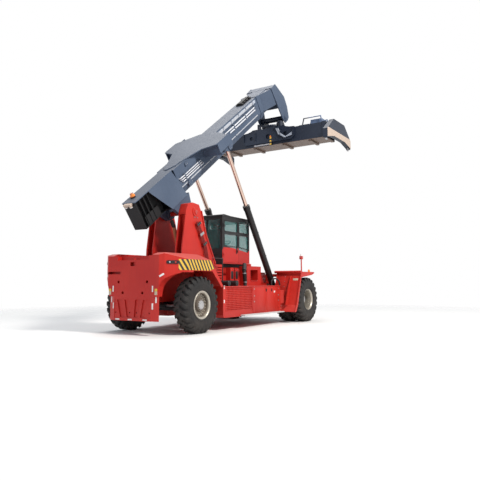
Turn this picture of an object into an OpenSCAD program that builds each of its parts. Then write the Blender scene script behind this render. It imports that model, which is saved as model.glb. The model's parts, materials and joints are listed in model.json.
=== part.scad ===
// Container reach stacker, parked with its boom raised and its spreader at the 20-foot width.
// Lengths are in millimetres. +X points forward, +Y to the left and +Z up.
// The origin is on the ground in the middle of the overall length.

/* [Chassis] */
// Place of the rear axle along the machine, from the origin
rear_axle_x = -3440; // [-3600:10:-3200]
// Distance from the rear axle to the front axle
wheelbase = 6000; // [5900:10:6300]
// Height of the frame rails
rail_h = 860; // [700:10:900]
// Height of the underside of the frame rails
rail_z = 560; // [500:10:640]
// Outer half width of the side boxes
box_y = 1500; // [1350:10:1560]
// Height of the top of the side boxes
box_top = 1345; // [1200:5:1400]

/* [Wheels] */
// Radius of a tyre over the lugs
tyre_r = 820; // [780:5:830]
// Width of a tyre
tyre_w = 480; // [420:5:500]
// Radius of the wheel rim
rim_r = 385; // [340:5:400]
// Distance from the centre plane to a rear wheel's middle
rear_track_y = 1315; // [1290:5:1360]
// Distance from the centre plane to the outer face of the front twin wheels
front_outer_y = 2120; // [2080:5:2180]
// Gap between the two tyres of a front pair
twin_gap = 110; // [60:5:120]
// Number of lugs round a tyre
lugs = 20; // [16:1:20]
// Height of the lugs
lug_h = 38; // [20:1:45]
// Distance from the centre plane to a kingpin
kingpin_y = 990; // [960:5:1010]

/* [Counterweight] */
// Distance from the rear axle back to the counterweight's rear face
cw_back = 1290; // [1250:5:1350]
// Height of the counterweight's underside
cw_z = 395; // [350:5:500]
// Height of the counterweight's top
cw_top = 2230; // [2150:5:2260]

/* [Boom] */
// Angle of the boom above level, as parked
boom_angle = 37.3; // [20:0.1:45]
// Height of the boom's pivot
pivot_z = 3680; // [3600:10:3800]
// Distance from the rear axle forward to the boom's pivot
pivot_x = 720; // [650:5:780]
// Distance from the pivot line up to the boom's top
boom_top = 1410; // [1350:5:1450]
// Depth of the outer boom
boom_depth = 910; // [850:5:940]
// Half width of the outer boom
boom_y = 335; // [320:5:360]
// Size of the cut-off lower corners of the boom
boom_cut = 220; // [150:10:260]
// Distance from the pivot to the outer boom's front end
boom_front = 6820; // [6600:10:7000]
// Wall of the boom sections
boom_wall = 20; // [14:1:24]
// Gap between the inner and the outer boom at the slide pads
boom_gap = 24; // [18:1:30]
// Distance from the pivot to the lift pins, along the boom
lift_pin_x = 2687; // [2600:5:2750]
// Distance from the pivot line up to the lift pins
lift_pin_z = 985; // [960:5:1010]
// Distance from the centre plane to a lift cylinder
lift_y = 850; // [840:1:860]

/* [Lift cylinders] */
// Outer radius of a lift cylinder's barrel
barrel_r = 115; // [100:1:118]
// Radius of a lift cylinder's rod
rod_r = 70; // [60:1:75]
// Length of a lift barrel from its base pin to its mouth
barrel_len = 3620; // [3500:10:3700]
// Distance from the rear axle forward to the base pins
base_pin_x = 5580; // [5540:5:5620]
// Height of the base pins
base_pin_z = 1200; // [1180:5:1240]

/* [Cab] */
// Distance from the rear axle forward to the cab's back
cab_x = 2310; // [2250:5:2400]
// Length of the cab
cab_len = 1760; // [1700:5:1780]
// Width of the cab
cab_w = 1330; // [1280:5:1360]
// Height of the cab's floor
cab_z = 2100; // [2060:5:2150]
// Height of the cab above its floor
cab_h = 1650; // [1600:5:1700]

/* [Spreader] */
// Distance from the pivot to the spreader's hanging pin, along the boom
hang_x = 8120; // [8050:10:8200]
// Drop of the spreader's hanging pin under the pivot line
hang_z = 140; // [100:5:180]
// Drop from the hanging pin to the twistlocks' tips
hang_drop = 1555; // [1550:5:1600]
// Spacing of the twistlocks along the spreader at the 20-foot width
lock_y = 5853; // [5840:1:5860]
// Spacing of the twistlocks across the spreader
lock_x = 2260; // [2255:1:2265]
// Depth of the spreader's main frame
frame_h = 640; // [600:5:660]
// Width of the spreader's main frame
frame_w = 900; // [880:5:940]

/* [Hidden] */
$fn = 48;

red = [0.72, 0.06, 0.05];
boom_blue = [0.27, 0.31, 0.38];
navy = [0.12, 0.15, 0.21];
black = [0.07, 0.07, 0.08];
steel = [0.66, 0.66, 0.66];
rubber = [0.10, 0.10, 0.10];

// Clearance between a pin and its bore, and between plates that turn past each other
pin_gap = 0.5;
side_gap = 10;
seat_gap = 0.3;
boom_bottom = boom_top - boom_depth;
front_axle_x = wheelbase;
box_end = front_axle_x - 1140;
front_centre_y = front_outer_y - tyre_w - twin_gap / 2;
axle_r = 230;
axle_top = tyre_r + axle_r + seat_gap;
tower_in = 440;
tower_out = 720;
pivot_pin_r = 80;
lift_pin_r = 55;
rail_in = 420;
rail_out = 700;
tow_pin_r = 30;
tow_pin_z = 2000;
tow_pin_back = 80;
stub_r = 95;
cab_wall = 60;
door_len = 960;
door_gap = 6;
hinge_out = 16;
hinge_r = 10;
hinge_z = [cab_z + 250, cab_z + 1250];

// Place of the rest pose's lift cylinder, worked out from its two pins
pin_top_x = pivot_x + lift_pin_x * cos(boom_angle) - lift_pin_z * sin(boom_angle);
pin_top_z = pivot_z + lift_pin_x * sin(boom_angle) + lift_pin_z * cos(boom_angle);
lift_len = sqrt(pow(base_pin_x - pin_top_x, 2) + pow(pin_top_z - base_pin_z, 2));
lift_angle = atan2(pin_top_z - base_pin_z, base_pin_x - pin_top_x);

// Place of the spreader's hanging pin in the rest pose
hang_px = pivot_x + hang_x * cos(boom_angle) + hang_z * sin(boom_angle);
hang_pz = pivot_z + hang_x * sin(boom_angle) - hang_z * cos(boom_angle);
lock_z = hang_pz - hang_drop;
frame_half = 2620;
frame_z = lock_z + 310;
frame_top = frame_z + frame_h;

// Moves what is drawn from the rear axle to its place from the origin
module machine() translate([rear_axle_x, 0, 0]) children();

// Draws on the boom: X runs along it from the pivot, Z stands square to it
module on_boom() machine() translate([pivot_x, 0, pivot_z]) rotate([0, -boom_angle, 0]) children();

// Draws on a lift cylinder: X runs from the base pin to the rod's eye
module on_lift() machine() translate([base_pin_x, 0, base_pin_z]) rotate([0, lift_angle - 180, 0]) children();

// Draws under the spreader's hanging pin, with the height from the ground kept
module on_hanger() machine() translate([hang_px, 0, 0]) children();

module both() {
    children();
    mirror([0, 1, 0]) children();
}

// A box from its low corner to its high corner
module block(a, b) translate(a) cube(b - a);

// Plates cut from an outline and standing along Y, lying flat, or standing along X
module plate_xz(points, y0, y1) translate([0, y1, 0]) rotate([90, 0, 0]) linear_extrude(y1 - y0) polygon(points);
module plate_xy(points, z0, z1) translate([0, 0, z0]) linear_extrude(z1 - z0) polygon(points);
module plate_yz(points, x0, x1) translate([x0, 0, 0]) rotate([90, 0, 90]) linear_extrude(x1 - x0) polygon(points);

// A round bar between two points
module bar(p, q, r) {
    d = q - p;
    len = norm(d);
    translate(p) rotate([0, acos(d[2] / len), atan2(d[1], d[0])]) cylinder(r = r, h = len);
}

// A bent pipe through points, with a collar at each bend
module pipe(points, r) {
    for (i = [0:len(points) - 2])
        bar(points[i], points[i + 1], r);
    for (i = [1:len(points) - 2])
        translate(points[i]) sphere(r = r + 3, $fn = 20);
}

// A cylinder along Y, centred at x and z, from y0 to y1
module drum_y(x, z, r, y0, y1) translate([x, y1, z]) rotate([90, 0, 0]) cylinder(r = r, h = y1 - y0);

// The outline of a plate mirrored about the centre plane, from rows of distance along and half width
function doubled(rows) = concat(rows, [for (i = [len(rows) - 1:-1:0]) [rows[i][0], -rows[i][1]]]);

// The same for a cross section, from rows of half width and height
function across(rows) = concat(rows, [for (i = [len(rows) - 1:-1:0]) [-rows[i][0], rows[i][1]]]);

// Chassis

module main_frame() color(red) machine() {
    // Narrow spine between the steered wheels
    difference() {
        block([-901 + seat_gap, -360, 900], [1180, 360, 1750]);
        block([-902, -300, 940], [1181, 300, 1700]);
    }
    block([-120, -rail_in, 1749], [1230, rail_in, 1800]);
    // Rails, arched over the drive axle
    both() difference() {
        block([1100, rail_in, rail_z], [wheelbase + 760, rail_out, rail_z + rail_h]);
        block([1160, rail_in - 1, rail_z + 60], [wheelbase - 400, rail_out - 60, rail_z + rail_h - 60]);
        plate_xz([[wheelbase - 250, rail_z - 1], [wheelbase - 250, axle_top], [wheelbase + 400, axle_top],
            [wheelbase + 761, axle_top + 160], [wheelbase + 761, rail_z - 1]], rail_in - 2, rail_out + 1);
    }
    for (x = [1100, 3900, 4700])
        block([x, -rail_out + 59, rail_z + 59], [x + 120, rail_out - 59, rail_z + rail_h - 59]);
    block([wheelbase + 280, -rail_in - 1, axle_top + 130], [wheelbase + 760, rail_in + 1, rail_z + rail_h]);
    // Front cross member over the axle, out to the fenders
    block([5580, -front_outer_y + 60, 1670], [5740, front_outer_y - 60, 1780]);
    both() block([5580, rail_in, rail_z + rail_h - 1], [5740, rail_out, 1671]);
    // Base pins of the lift cylinders on their brackets
    both() {
        plate_xz([[5350, 900], [5350, 1100], [5500, 1285], [5660, 1285], [5760, 1180], [5760, 900]],
            rail_out - 1, lift_y - 92);
        drum_y(base_pin_x, base_pin_z, lift_pin_r, rail_out - 1, lift_y + 92);
        drum_y(base_pin_x, base_pin_z, lift_pin_r + 28, lift_y + 84, lift_y + 96);
    }
}

module counterweight() color(red) machine() {
    shoulder = [[-cw_back, 980], [-cw_back + 90, 1110], [-880, 1345], [-640, 1500], [-380, 1500]];
    difference() {
        union() {
            // Lower casting with its corners cut back
            plate_xy(doubled([[-cw_back, 700], [-cw_back + 70, 930], [-cw_back + 90, 930], [-1060, 780],
                [-1060, 400], [-901, 400]]), cw_z, 1761);
            // Flare under the shoulders, out to the wheel arch
            intersection() {
                plate_xy(doubled(shoulder), 1080, 1761);
                plate_yz(across([[915, 1080], [930, 1220], [965, 1360], [1030, 1490], [1130, 1600], [1280, 1700],
                    [1450, 1761]]), -cw_back - 1, -780);
                plate_xz([[-cw_back - 1, 1080], [-1060, 1080], [-1045, 1330], [-1000, 1500], [-920, 1640],
                    [-790, 1761], [-cw_back - 1, 1761]], -1600, 1600);
            }
            // Shoulders and the deck over the wheels
            intersection() {
                plate_xy(doubled(shoulder), 1760, cw_top + 100);
                plate_yz(across([[1500, 1760], [1500, 2130], [1010, cw_top + 85], [760, cw_top + 85],
                    [740, cw_top]]), -cw_back - 1, -379);
            }
        }
        // Seat of the frame's spine
        block([-901, -360 - seat_gap, 1400], [-700, 360 + seat_gap, 1750 + seat_gap]);
        // Slope at the rear edge, trough along the top, and the ledge with its pockets
        plate_xz([[-cw_back - 1, cw_top + 15], [-1060, cw_top + 101], [-cw_back - 1, cw_top + 101]], -1600, 1600);
        block([-cw_back - 1, -600, cw_top - 110], [-cw_back + 170, 600, cw_top + 101]);
        block([-cw_back - 1, -690, 470], [-cw_back + 12, 690, 1010]);
        both() {
            plate_yz([[600, 985], [400, 985], [300, 490], [470, 490]], -cw_back - 1, -cw_back + 45);
            plate_yz([[310, 985], [110, 985], [60, 490], [210, 490]], -cw_back - 1, -cw_back + 45);
            for (p = [[550, 1490, 44], [380, 1180, 44], [640, 620, 22], [130, 620, 22]])
                translate([-cw_back - 1, p[0], p[1]]) rotate([0, 90, 0]) cylinder(r = p[2], h = 150);
        }
        // Notch on the left, and the towing jaw
        block([-cw_back - 1, 480, 1715], [-cw_back + 160, 1000, 1790]);
        block([-cw_back - 1, -95, tow_pin_z - 55], [-cw_back + 170, 95, tow_pin_z + 55]);
    }
    translate([-cw_back + tow_pin_back, 0, tow_pin_z - 90]) cylinder(r = tow_pin_r, h = 260);
}

module rear_fenders() color(red) machine() both() {
    inner = tower_out + seat_gap;
    // Side plate with the wheel arch, and the sloping top
    plate_xz([[-380 + seat_gap, 1800], [-380 + seat_gap, 2130], [470, 2130], [625, 1935], [1124, 1362], [1050, 1310],
        [560, 1790], [430, 1800]], 1460, 1500);
    plate_yz([[inner, cw_top + 85], [1010, cw_top + 85], [1500, 2130], [1461, 2100], [1004, cw_top + 50],
        [inner, cw_top + 50]], -380 + seat_gap, 440);
    // Slope down to the side boxes, its inner half standing higher
    plate_xz([[439, 2150], [475, 2135], [640, 1935], [1124, 1364], [1095, 1345], [600, 1905], [439, 2100]],
        1000, 1461);
    plate_xz([[439, cw_top + 85], [600, cw_top + 30], [1090, 1560], [1060, 1540], [580, cw_top - 10],
        [439, cw_top + 50]], inner, 1020);
    plate_xz([[439, cw_top + 85], [600, cw_top + 30], [1090, 1560], [1124, 1364], [1095, 1345], [600, 1905],
        [439, 2100]], 1000, 1020);
}

module boom_tower() color(red) machine() {
    front = [[1010, 3740], [1250, 3000], [1790, 2070], [1790, rail_z + rail_h + seat_gap]];
    column = concat([[40, 1800], [60, 2500], [230, 3640], [330, 3900], [560, 3960], [900, 3930]], front,
        [[1110, rail_z + rail_h + seat_gap], [1110, 1800]]);
    both() {
        difference() {
            union() {
                plate_xz(column, tower_in, tower_out);
                // Flange along the front edge, and the boss round the pivot pin
                plate_xz([[1009, 3740], [1249, 3000], [1789, 2070], [1830, 2090], [1288, 3018], [1045, 3752]],
                    tower_in, tower_out + 25);
                drum_y(pivot_x, pivot_z, 150, tower_out - 1, tower_out + 22);
            }
            drum_y(pivot_x, pivot_z, pivot_pin_r + 0.02, 0, tower_out + 30);
            // Hollow of the column, open to the rear
            plate_xz([[39, 2560], [50, 2560], [215, 3560], [330, 3560], [480, 2560], [480, 2100], [39, 2100]],
                tower_in + 40, tower_out - 40);
        }
        // Stiffener on the inner foot
        plate_xz([[60, 1800.3], [60, 2300], [100, 2300], [1100, 2000], [1100, 1800.3]], tower_in - 30, tower_in + 1);
    }
    drum_y(pivot_x, pivot_z, pivot_pin_r, -tower_out - 35, tower_out + 35);
}

module side_boxes() color(red) machine() both() {
    difference() {
        block([1125, rail_out + 1, 380], [box_end, box_y, box_top]);
        block([1285, box_y - 20, 600], [2840, box_y + 1, 1300]);
        // Sloping lower edge at the rear
        plate_xz([[1124, 379], [1180, 379], [1124, 460]], rail_out, box_y + 1);
    }
    plate_xy([[box_end - 1, 1420], [box_end - 1, box_y], [box_end + 90, box_y + 90],
        [box_end + 90, 1420]], 700, 1180);
    for (i = [0:11])
        plate_yz([[box_y - 21, 615 + i * 57], [box_y - 21, 655 + i * 57], [box_y - 2, 630 + i * 57]], 1284, 2841);
    // Top rim, and the two hinge posts of the doors
    block([1125, box_y - 1, box_top - 26], [box_end, box_y + 12, box_top]);
    for (x = [2900, box_end - 170])
        block([x, box_y - 1, 430], [x + 36, box_y + 8, box_top - 25]);
    for (x = [2870, box_end - 200], z = [560, 880, 1190])
        block([x, box_y - 1, z], [x + 90, box_y + 16, z + 50]);
}

module steps_and_pipes() color(steel) machine() {
    both() {
        // Running board on its brackets
        block([2100, box_y + 17, 395], [box_end - 60 - seat_gap, box_y + 190, 425]);
        for (x = [2300, 3300, box_end - 560])
            block([x, box_y + seat_gap, 385], [x + 60, box_y + 120, 396]);
        // Two canisters lying on the side box
        for (x = [1460, 1930])
            drum_y(x + 190, box_top + seat_gap + 90, 90, 1060, 1380);
    }
    // Air pipe on the right, from the box up to the cabinet
    pipe([[3060, -1100, box_top + seat_gap], [3060, -1100, 1500], [3000, -1100, 1880]], 60);
    bar([3000, -1100, 1860], [3180, -1000, 2080], 75);
    // Three pipes down the right tower in their clamps
    for (i = [0:2]) {
        translate([i * 60, -tower_out - 66, 0])
            pipe([[690, 0, 3360], [1120, 0, 2560], [1400, 0, 1500], [1400, 0, box_top + seat_gap]], 18);
    }
    for (k = [0:2])
        translate([790 + k * 165, 0, 3290 - k * 305]) rotate([0, 61, 0])
            block([-40, -tower_out - 84, -90], [40, -tower_out - seat_gap, 130]);
    // Pipe that loops from the deck down to the front axle, on the right
    hose = [[box_end - 300, -1300, box_top + seat_gap], [box_end - 300, -1300, 1500], [box_end - 240, -1340, 1590],
        [box_end - 110, -1400, 1600], [box_end + 20, -1440, 1500], [box_end + 60, -1450, 1350],
        [box_end + 50, -1450, 1230], [box_end + 50, -1450, 1180 + seat_gap]];
    pipe(hose, 26);
    // Grab rail beside the tower
    pipe([[1330, -950, box_top + seat_gap], [1330, -950, 2240], [1900, -950, 2240],
        [1900, -950, box_top + seat_gap]], 18);
}

module front_fenders() color(red) machine() translate([front_axle_x, 0, 0]) both() {
    skirt = front_outer_y - 30;
    // Top plate with its pointed front, the side skirt, and the sloping rear plate
    plate_xy([[-670, 1010], [-670, front_outer_y], [500, front_outer_y], [900, 1700], [900, 1010]], 1800, 1850);
    plate_xz([[-600, 1850], [440, 1850], [500, 1800], [300, 1740], [-600, 1640]], skirt, front_outer_y);
    plate_xz([[-1145, 400], [-1110, 400], [-950, 640], [-778, 1178], [-580, 1763], [-575, 1801], [-615, 1801],
        [-615, 1763], [-813, 1178], [-985, 640]], 1500, front_outer_y);
    plate_xz([[-1200, 400], [-1106, 400], [-946, 640], [-774, 1178], [-576, 1763], [-571, 1801], [-650, 1801],
        [-650, 1763], [-860, 1178], [-1040, 640]], skirt, front_outer_y);
    // Rib on the rear plate's back
    plate_xz([[-1150, 640], [-986, 640], [-814, 1178], [-640, 1700], [-700, 1700], [-960, 1178]], 1700, 1720);
    // Rolled top edge
    drum_y(-640, 1850, 45, 1010, front_outer_y);
    block([-410, 1020, 1780 + seat_gap], [-270, 1900, 1801]);
}

module front_axle() color(black) machine() {
    drum_y(front_axle_x, tyre_r, axle_r, -1000, 1000);
    both() {
        drum_y(front_axle_x, tyre_r, 180, 999, front_centre_y + 200);
        drum_y(front_axle_x, tyre_r, 140, front_centre_y + 199, front_centre_y + 300);
        drum_y(front_axle_x, tyre_r, 300, 900, 985);
    }
    translate([front_axle_x - 330, 0, tyre_r]) rotate([0, 90, 0]) cylinder(r = 300, h = 480);
    translate([front_axle_x - 560, 0, tyre_r]) rotate([0, 90, 0]) cylinder(r1 = 110, r2 = 200, h = 231);
}

module rear_axle() color(black) machine() {
    plate_xz([[-150, 700], [-110, 640], [110, 640], [150, 700], [150, 850], [110, 900 - seat_gap],
        [-110, 900 - seat_gap], [-150, 850]], -700, 700);
    both() {
        block([-60, 699, 560], [60, kingpin_y - 130, 1080]);
        for (z = [560, 1000])
            plate_xy([[-60, 699], [-110, kingpin_y - 120], [-110, kingpin_y + 80], [110, kingpin_y + 80],
                [110, kingpin_y - 120], [60, 699]], z, z + 80);
        translate([0, kingpin_y, 540]) cylinder(r = 45, h = 560);
    }
    // Steering cylinder, open at both ends for its rod
    difference() {
        union() {
            drum_y(-260, 800, 80, -420, 420);
            block([-260, -200, 760], [-149, 200, 840]);
        }
        drum_y(-260, 800, 35 + pin_gap, -421, 421);
    }
}

module engine_block() color(black) machine() {
    block([1240, -330, 780], [2230, 330, 1700]);
    // Feet on the rails' lower flanges
    for (x = [1400, 1960])
        block([x, -rail_in - 120, rail_z + 60 + seat_gap], [x + 140, rail_in + 120, 781]);
}

module deck() color(red) machine() {
    top = rail_z + rail_h;
    // Cover between the towers
    difference() {
        block([-380 + seat_gap, -tower_in + 31, 1800 + seat_gap], [1241, tower_in - 31, 2060]);
        block([-381, -tower_in + 61, 1799], [1242, tower_in - 61, 2030]);
    }
    // Hood ahead of the towers
    difference() {
        union() {
            block([1240, -tower_in + seat_gap, top], [cab_x - 40, tower_in - seat_gap, 2060]);
            block([1830 + seat_gap, -rail_out, top], [cab_x - 40, rail_out, 2060]);
        }
        block([1239, -tower_in + 30, top - 1], [cab_x - 70, tower_in - 30, 2030]);
        // Louvres in the hood's right and left sides
        for (z = [1500:90:1950])
            block([1960, -rail_out - 1, z], [cab_x - 90, rail_out + 1, z + 30]);
    }
    // Cab stand
    block([cab_x - 41, -rail_out, top + seat_gap], [cab_x + 2090, rail_out, 1700]);
    block([cab_x + 200, -520, 1699], [cab_x + 2090, 520, 1980]);
    block([cab_x, -460, 1979], [cab_x + cab_len, 460, cab_z - seat_gap]);
    // Cabinet on the right with its rounded opening and cap
    difference() {
        union() {
            block([3330, -1010, box_top + seat_gap], [4300, -rail_out - seat_gap, 2030]);
            block([3330, -rail_out - 1, top + seat_gap], [4300, -rail_out + 1, 2030]);
        }
        block([3560, -1011, 1520], [4060, -760, 1900]);
    }
    translate([3600, -880, 2029]) cylinder(r = 120, h = 70);
    for (x = [2480, 2760])
        block([x, -880, top + 20], [x + 220, -rail_out + 1, 1960]);
}

module exhaust() color([0.45, 0.25, 0.16]) machine() {
    pipe([[560, -250, 2060 + seat_gap], [560, -250, 2150], [225, -250, 3220]], 55);
    bar([225, -250, 3200], [120, -250, 3380], 62);
}

// Cab

module cab_windows() {
    // Rear, front and left openings, and the fixed window ahead of the door
    both() block([cab_x - 1, 35, cab_z + 520], [cab_x + cab_wall + 1, cab_w / 2 - 90, cab_z + cab_h - 130]);
    block([cab_x + cab_len - cab_wall - 1, -cab_w / 2 + 90, cab_z + 330],
        [cab_x + cab_len + 1, cab_w / 2 - 90, cab_z + cab_h - 130]);
    plate_xz([[cab_x + 190, cab_z + 590], [cab_x + 190, cab_z + cab_h - 130], [cab_x + 980, cab_z + cab_h - 130],
        [cab_x + 980, cab_z + 505]], cab_w / 2 - cab_wall - 1, cab_w / 2 + 1);
    both() plate_xz([[cab_x + door_len + 90, cab_z + 1110], [cab_x + door_len + 90, cab_z + cab_h - 130],
        [cab_x + cab_len - 100, cab_z + cab_h - 130], [cab_x + cab_len - 100, cab_z + 1110]],
        cab_w / 2 - cab_wall - 1, cab_w / 2 + 1);
    both() plate_xz([[cab_x + door_len + 90, cab_z + 500], [cab_x + door_len + 90, cab_z + 1020],
        [cab_x + cab_len - 100, cab_z + 1020], [cab_x + cab_len - 100, cab_z + 430]],
        cab_w / 2 - cab_wall - 1, cab_w / 2 + 1);
}

module cab_shell() color(black) machine() {
    difference() {
        block([cab_x, -cab_w / 2, cab_z], [cab_x + cab_len, cab_w / 2, cab_z + cab_h - 40]);
        block([cab_x + cab_wall, -cab_w / 2 + cab_wall, cab_z + cab_wall],
            [cab_x + cab_len - cab_wall, cab_w / 2 - cab_wall, cab_z + cab_h - 110]);
        cab_windows();
        block([cab_x + 60, -cab_w / 2 - 1, cab_z + 40], [cab_x + 60 + door_len, -cab_w / 2 + cab_wall + seat_gap,
            cab_z + cab_h - 110]);
    }
    // Hinge pins of the door, between their lugs
    for (z = hinge_z) {
        translate([cab_x + 63, -cab_w / 2 - hinge_out, z]) cylinder(r = hinge_r, h = 110);
        for (dz = [0, 85]) {
            block([cab_x + 20, -cab_w / 2 - 26, z + dz], [cab_x + 60, -cab_w / 2 + 1, z + dz + 25]);
            block([cab_x + 59, -cab_w / 2 - 26, z + dz], [cab_x + 73, -cab_w / 2 - 6, z + dz + 25]);
        }
    }
    // Roof with its raised rear and the lip over the front window
    plate_xz([[cab_x - 30, cab_z + cab_h - 41], [cab_x - 30, cab_z + cab_h + 10], [cab_x + 80, cab_z + cab_h + 40],
        [cab_x + 480, cab_z + cab_h + 10], [cab_x + cab_len + 60, cab_z + cab_h - 5],
        [cab_x + cab_len + 60, cab_z + cab_h - 41]], -cab_w / 2 - 15, cab_w / 2 + 15);
}

module cab_glass() color([0.35, 0.55, 0.5, 0.4]) machine() intersection() {
    difference() {
        block([cab_x + 20, -cab_w / 2 + 20, cab_z + 200], [cab_x + cab_len - 20, cab_w / 2 - 20, cab_z + cab_h - 90]);
        block([cab_x + 30, -cab_w / 2 + 30, cab_z + 199], [cab_x + cab_len - 30, cab_w / 2 - 30, cab_z + cab_h - 89]);
    }
    cab_windows();
}

module cab_seat() color(black) machine() {
    translate([cab_x + 500, 0, cab_z + cab_wall]) {
        block([0, -240, 0], [420, 240, 250]);
        block([-20, -260, 249], [500, 260, 420]);
        plate_xz([[-20, 300], [-140, 1150], [-10, 1180], [110, 419]], -250, 250);
    }
    translate([cab_x + 1180, 0, cab_z + cab_wall]) {
        block([60, -120, 0], [320, 120, 500]);
        bar([130, 0, 499], [0, 0, 720], 30);
        translate([0, 0, 720]) rotate([0, -28, 0]) rotate_extrude() translate([190, 0]) circle(r = 16);
        translate([0, 0, 720]) rotate([0, -28, 0]) translate([0, -190, 0]) rotate([-90, 0, 0])
            cylinder(r = 12, h = 380);
    }
}

module lamps() color([0.35, 0.02, 0.02]) machine() both() {
    // Lamp post on the front fender
    translate([front_axle_x - 120, 1880, 0]) {
        bar([0, 0, 1850 + seat_gap], [0, 0, 2330], 25);
        block([-60, -50, 2329], [60, 50, 2450]);
        translate([0, 0, 2449]) cylinder(r = 40, h = 70);
    }
    translate([front_axle_x + 200, 2040, 1850 + seat_gap]) cylinder(r = 40, h = 80);
    // Tail lamps in the flare
    translate([-1020, 1242, 2035]) rotate([0, 0, atan2(235, 320)]) {
        block([-170, seat_gap, -45], [170, 12, 45]);
        for (x = [-85, 85])
            translate([x, 11, 0]) rotate([-90, 0, 0]) cylinder(r = 34, h = 14);
    }
}

// Upper and lower window of the door, with the bar between them
module door_window(y0, y1) {
    plate_xz([[cab_x + 150, cab_z + 1110], [cab_x + 150, cab_z + cab_h - 170],
        [cab_x + door_len - 20, cab_z + cab_h - 170], [cab_x + door_len - 20, cab_z + 1110]], y0, y1);
    plate_xz([[cab_x + 150, cab_z + 610], [cab_x + 150, cab_z + 1020],
        [cab_x + door_len - 20, cab_z + 1020], [cab_x + door_len - 20, cab_z + 525]], y0, y1);
}

module cab_door() color(red) machine() difference() {
    union() {
        block([cab_x + 60 + door_gap, -cab_w / 2, cab_z + 40 + door_gap],
            [cab_x + 60 + door_len - door_gap, -cab_w / 2 + cab_wall, cab_z + cab_h - 110 - door_gap]);
        // Handle, and two hinge knuckles on the rear edge
        block([cab_x + door_len - 60, -cab_w / 2 - 35, cab_z + 430],
            [cab_x + door_len + 10, -cab_w / 2 + 1, cab_z + 470]);
        for (z = hinge_z) {
            translate([cab_x + 63, -cab_w / 2 - hinge_out, z + 26]) cylinder(r = hinge_r + 4, h = 58);
            block([cab_x + 68, -cab_w / 2 - 25, z + 26], [cab_x + 160, -cab_w / 2 + 1, z + 84]);
        }
    }
    for (z = hinge_z)
        translate([cab_x + 63, -cab_w / 2 - hinge_out, z + 20]) cylinder(r = hinge_r + pin_gap, h = 70);
    door_window(-cab_w / 2 - 1, -cab_w / 2 + cab_wall + 1);
}

module door_glass() color([0.35, 0.55, 0.5, 0.4]) machine() door_window(-cab_w / 2 + 20, -cab_w / 2 + 30);

// Wheels and steering

// A tyre with slanted lugs, as rings of points joined by flat faces
module tyre() {
    n = 3 * lugs;
    // Rows: radius, distance from the middle plane, how much of the lugs' gap shows, turn of the lugs
    rows = [[rim_r, -tyre_w / 2 + 60, 0, 0], [rim_r + 100, -tyre_w / 2, 0, 0],
        [tyre_r - 110, -tyre_w / 2 + 8, 0, 0], [tyre_r, -tyre_w / 2 + 62, 1, 0], [tyre_r, tyre_w / 2 - 62, 1, 0.5],
        [tyre_r - 110, tyre_w / 2 - 8, 0, 0.5], [rim_r + 100, tyre_w / 2, 0, 0.5], [rim_r, tyre_w / 2 - 60, 0, 0.5]];
    points = [for (row = rows) for (i = [0:n - 1])
        let (r = row[0] - (i % 3 == 2 ? row[2] * lug_h : 0), a = (i + row[3] * 1.5) * 360 / n)
        [r * cos(a), row[1], r * sin(a)]];
    faces = [for (k = [0:len(rows) - 1]) for (i = [0:n - 1]) for (t = [0, 1])
        let (a = k * n + i, b = k * n + (i + 1) % n, c = ((k + 1) % len(rows)) * n + (i + 1) % n,
            d = ((k + 1) % len(rows)) * n + i)
        t == 0 ? [a, b, c] : [a, c, d]];
    polyhedron(points, faces, convexity = 6);
}

// Rim of a rear wheel, with its disc and domed hub towards the outside; bore is the hole for the stub axle
module rear_rim(bore) rotate([90, 0, 0]) rotate_extrude() polygon([
    [rim_r - 1, -tyre_w / 2 + 60], [rim_r + 25, -tyre_w / 2 + 20], [rim_r - 20, -tyre_w / 2 + 20],
    [rim_r - 45, -tyre_w / 2 + 70], [rim_r - 45, 30], [bore, 30], [bore, 175], [0, 175], [0, 205], [120, 200],
    [175, 160], [200, 90], [rim_r - 45, 90], [rim_r - 45, tyre_w / 2 - 70], [rim_r - 20, tyre_w / 2 - 20],
    [rim_r + 25, tyre_w / 2 - 20], [rim_r - 1, tyre_w / 2 - 60]]);

module rear_wheel_place(side) machine() translate([0, side * rear_track_y, tyre_r])
    rotate([0, 0, side > 0 ? 180 : 0]) children();

module rear_tyre_right() color(rubber) rear_wheel_place(-1) tyre();
module rear_tyre_left() color(rubber) rear_wheel_place(1) tyre();
module rear_rim_right() color(steel) rear_wheel_place(-1) rear_rim(stub_r + pin_gap);
module rear_rim_left() color(steel) rear_wheel_place(1) rear_rim(stub_r + pin_gap);

module front_pair(side) machine() {
    for (y = [front_outer_y - tyre_w / 2, front_outer_y - 1.5 * tyre_w - twin_gap])
        translate([front_axle_x, side * y, tyre_r]) children();
}

module front_tyres_right() color(rubber) front_pair(-1) tyre();
module front_tyres_left() color(rubber) front_pair(1) tyre();
module front_rims(side) machine() translate([front_axle_x, side * front_centre_y, tyre_r])
    rotate([0, 0, side > 0 ? 180 : 0]) rotate([90, 0, 0]) rotate_extrude($fn = 48) front_rim_section();
module front_rim_section() {
    h = tyre_w + twin_gap / 2 - 20;
    polygon([[rim_r - 1, -h], [rim_r - 45, -h + 40], [rim_r - 45, -30], [181, -30], [181, 30], [rim_r - 45, 30],
        [rim_r - 45, h - 40], [rim_r - 1, h]]);
}
module front_rims_right() color(steel) front_rims(-1);
module front_rims_left() color(steel) front_rims(1);

module knuckle(side) machine() translate([0, side * kingpin_y, 0]) {
    difference() {
        block([-90, -80, 650], [90, 80, 990]);
        translate([0, 0, 649]) cylinder(r = 45 + pin_gap, h = 342);
    }
    drum_y(0, tyre_r, stub_r, side > 0 ? 79 : -490, side > 0 ? 490 : -79);
    block([-250, -50, 700], [-89, 50, 760]);
}
module knuckle_right() color(black) knuckle(-1);
module knuckle_left() color(black) knuckle(1);

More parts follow.
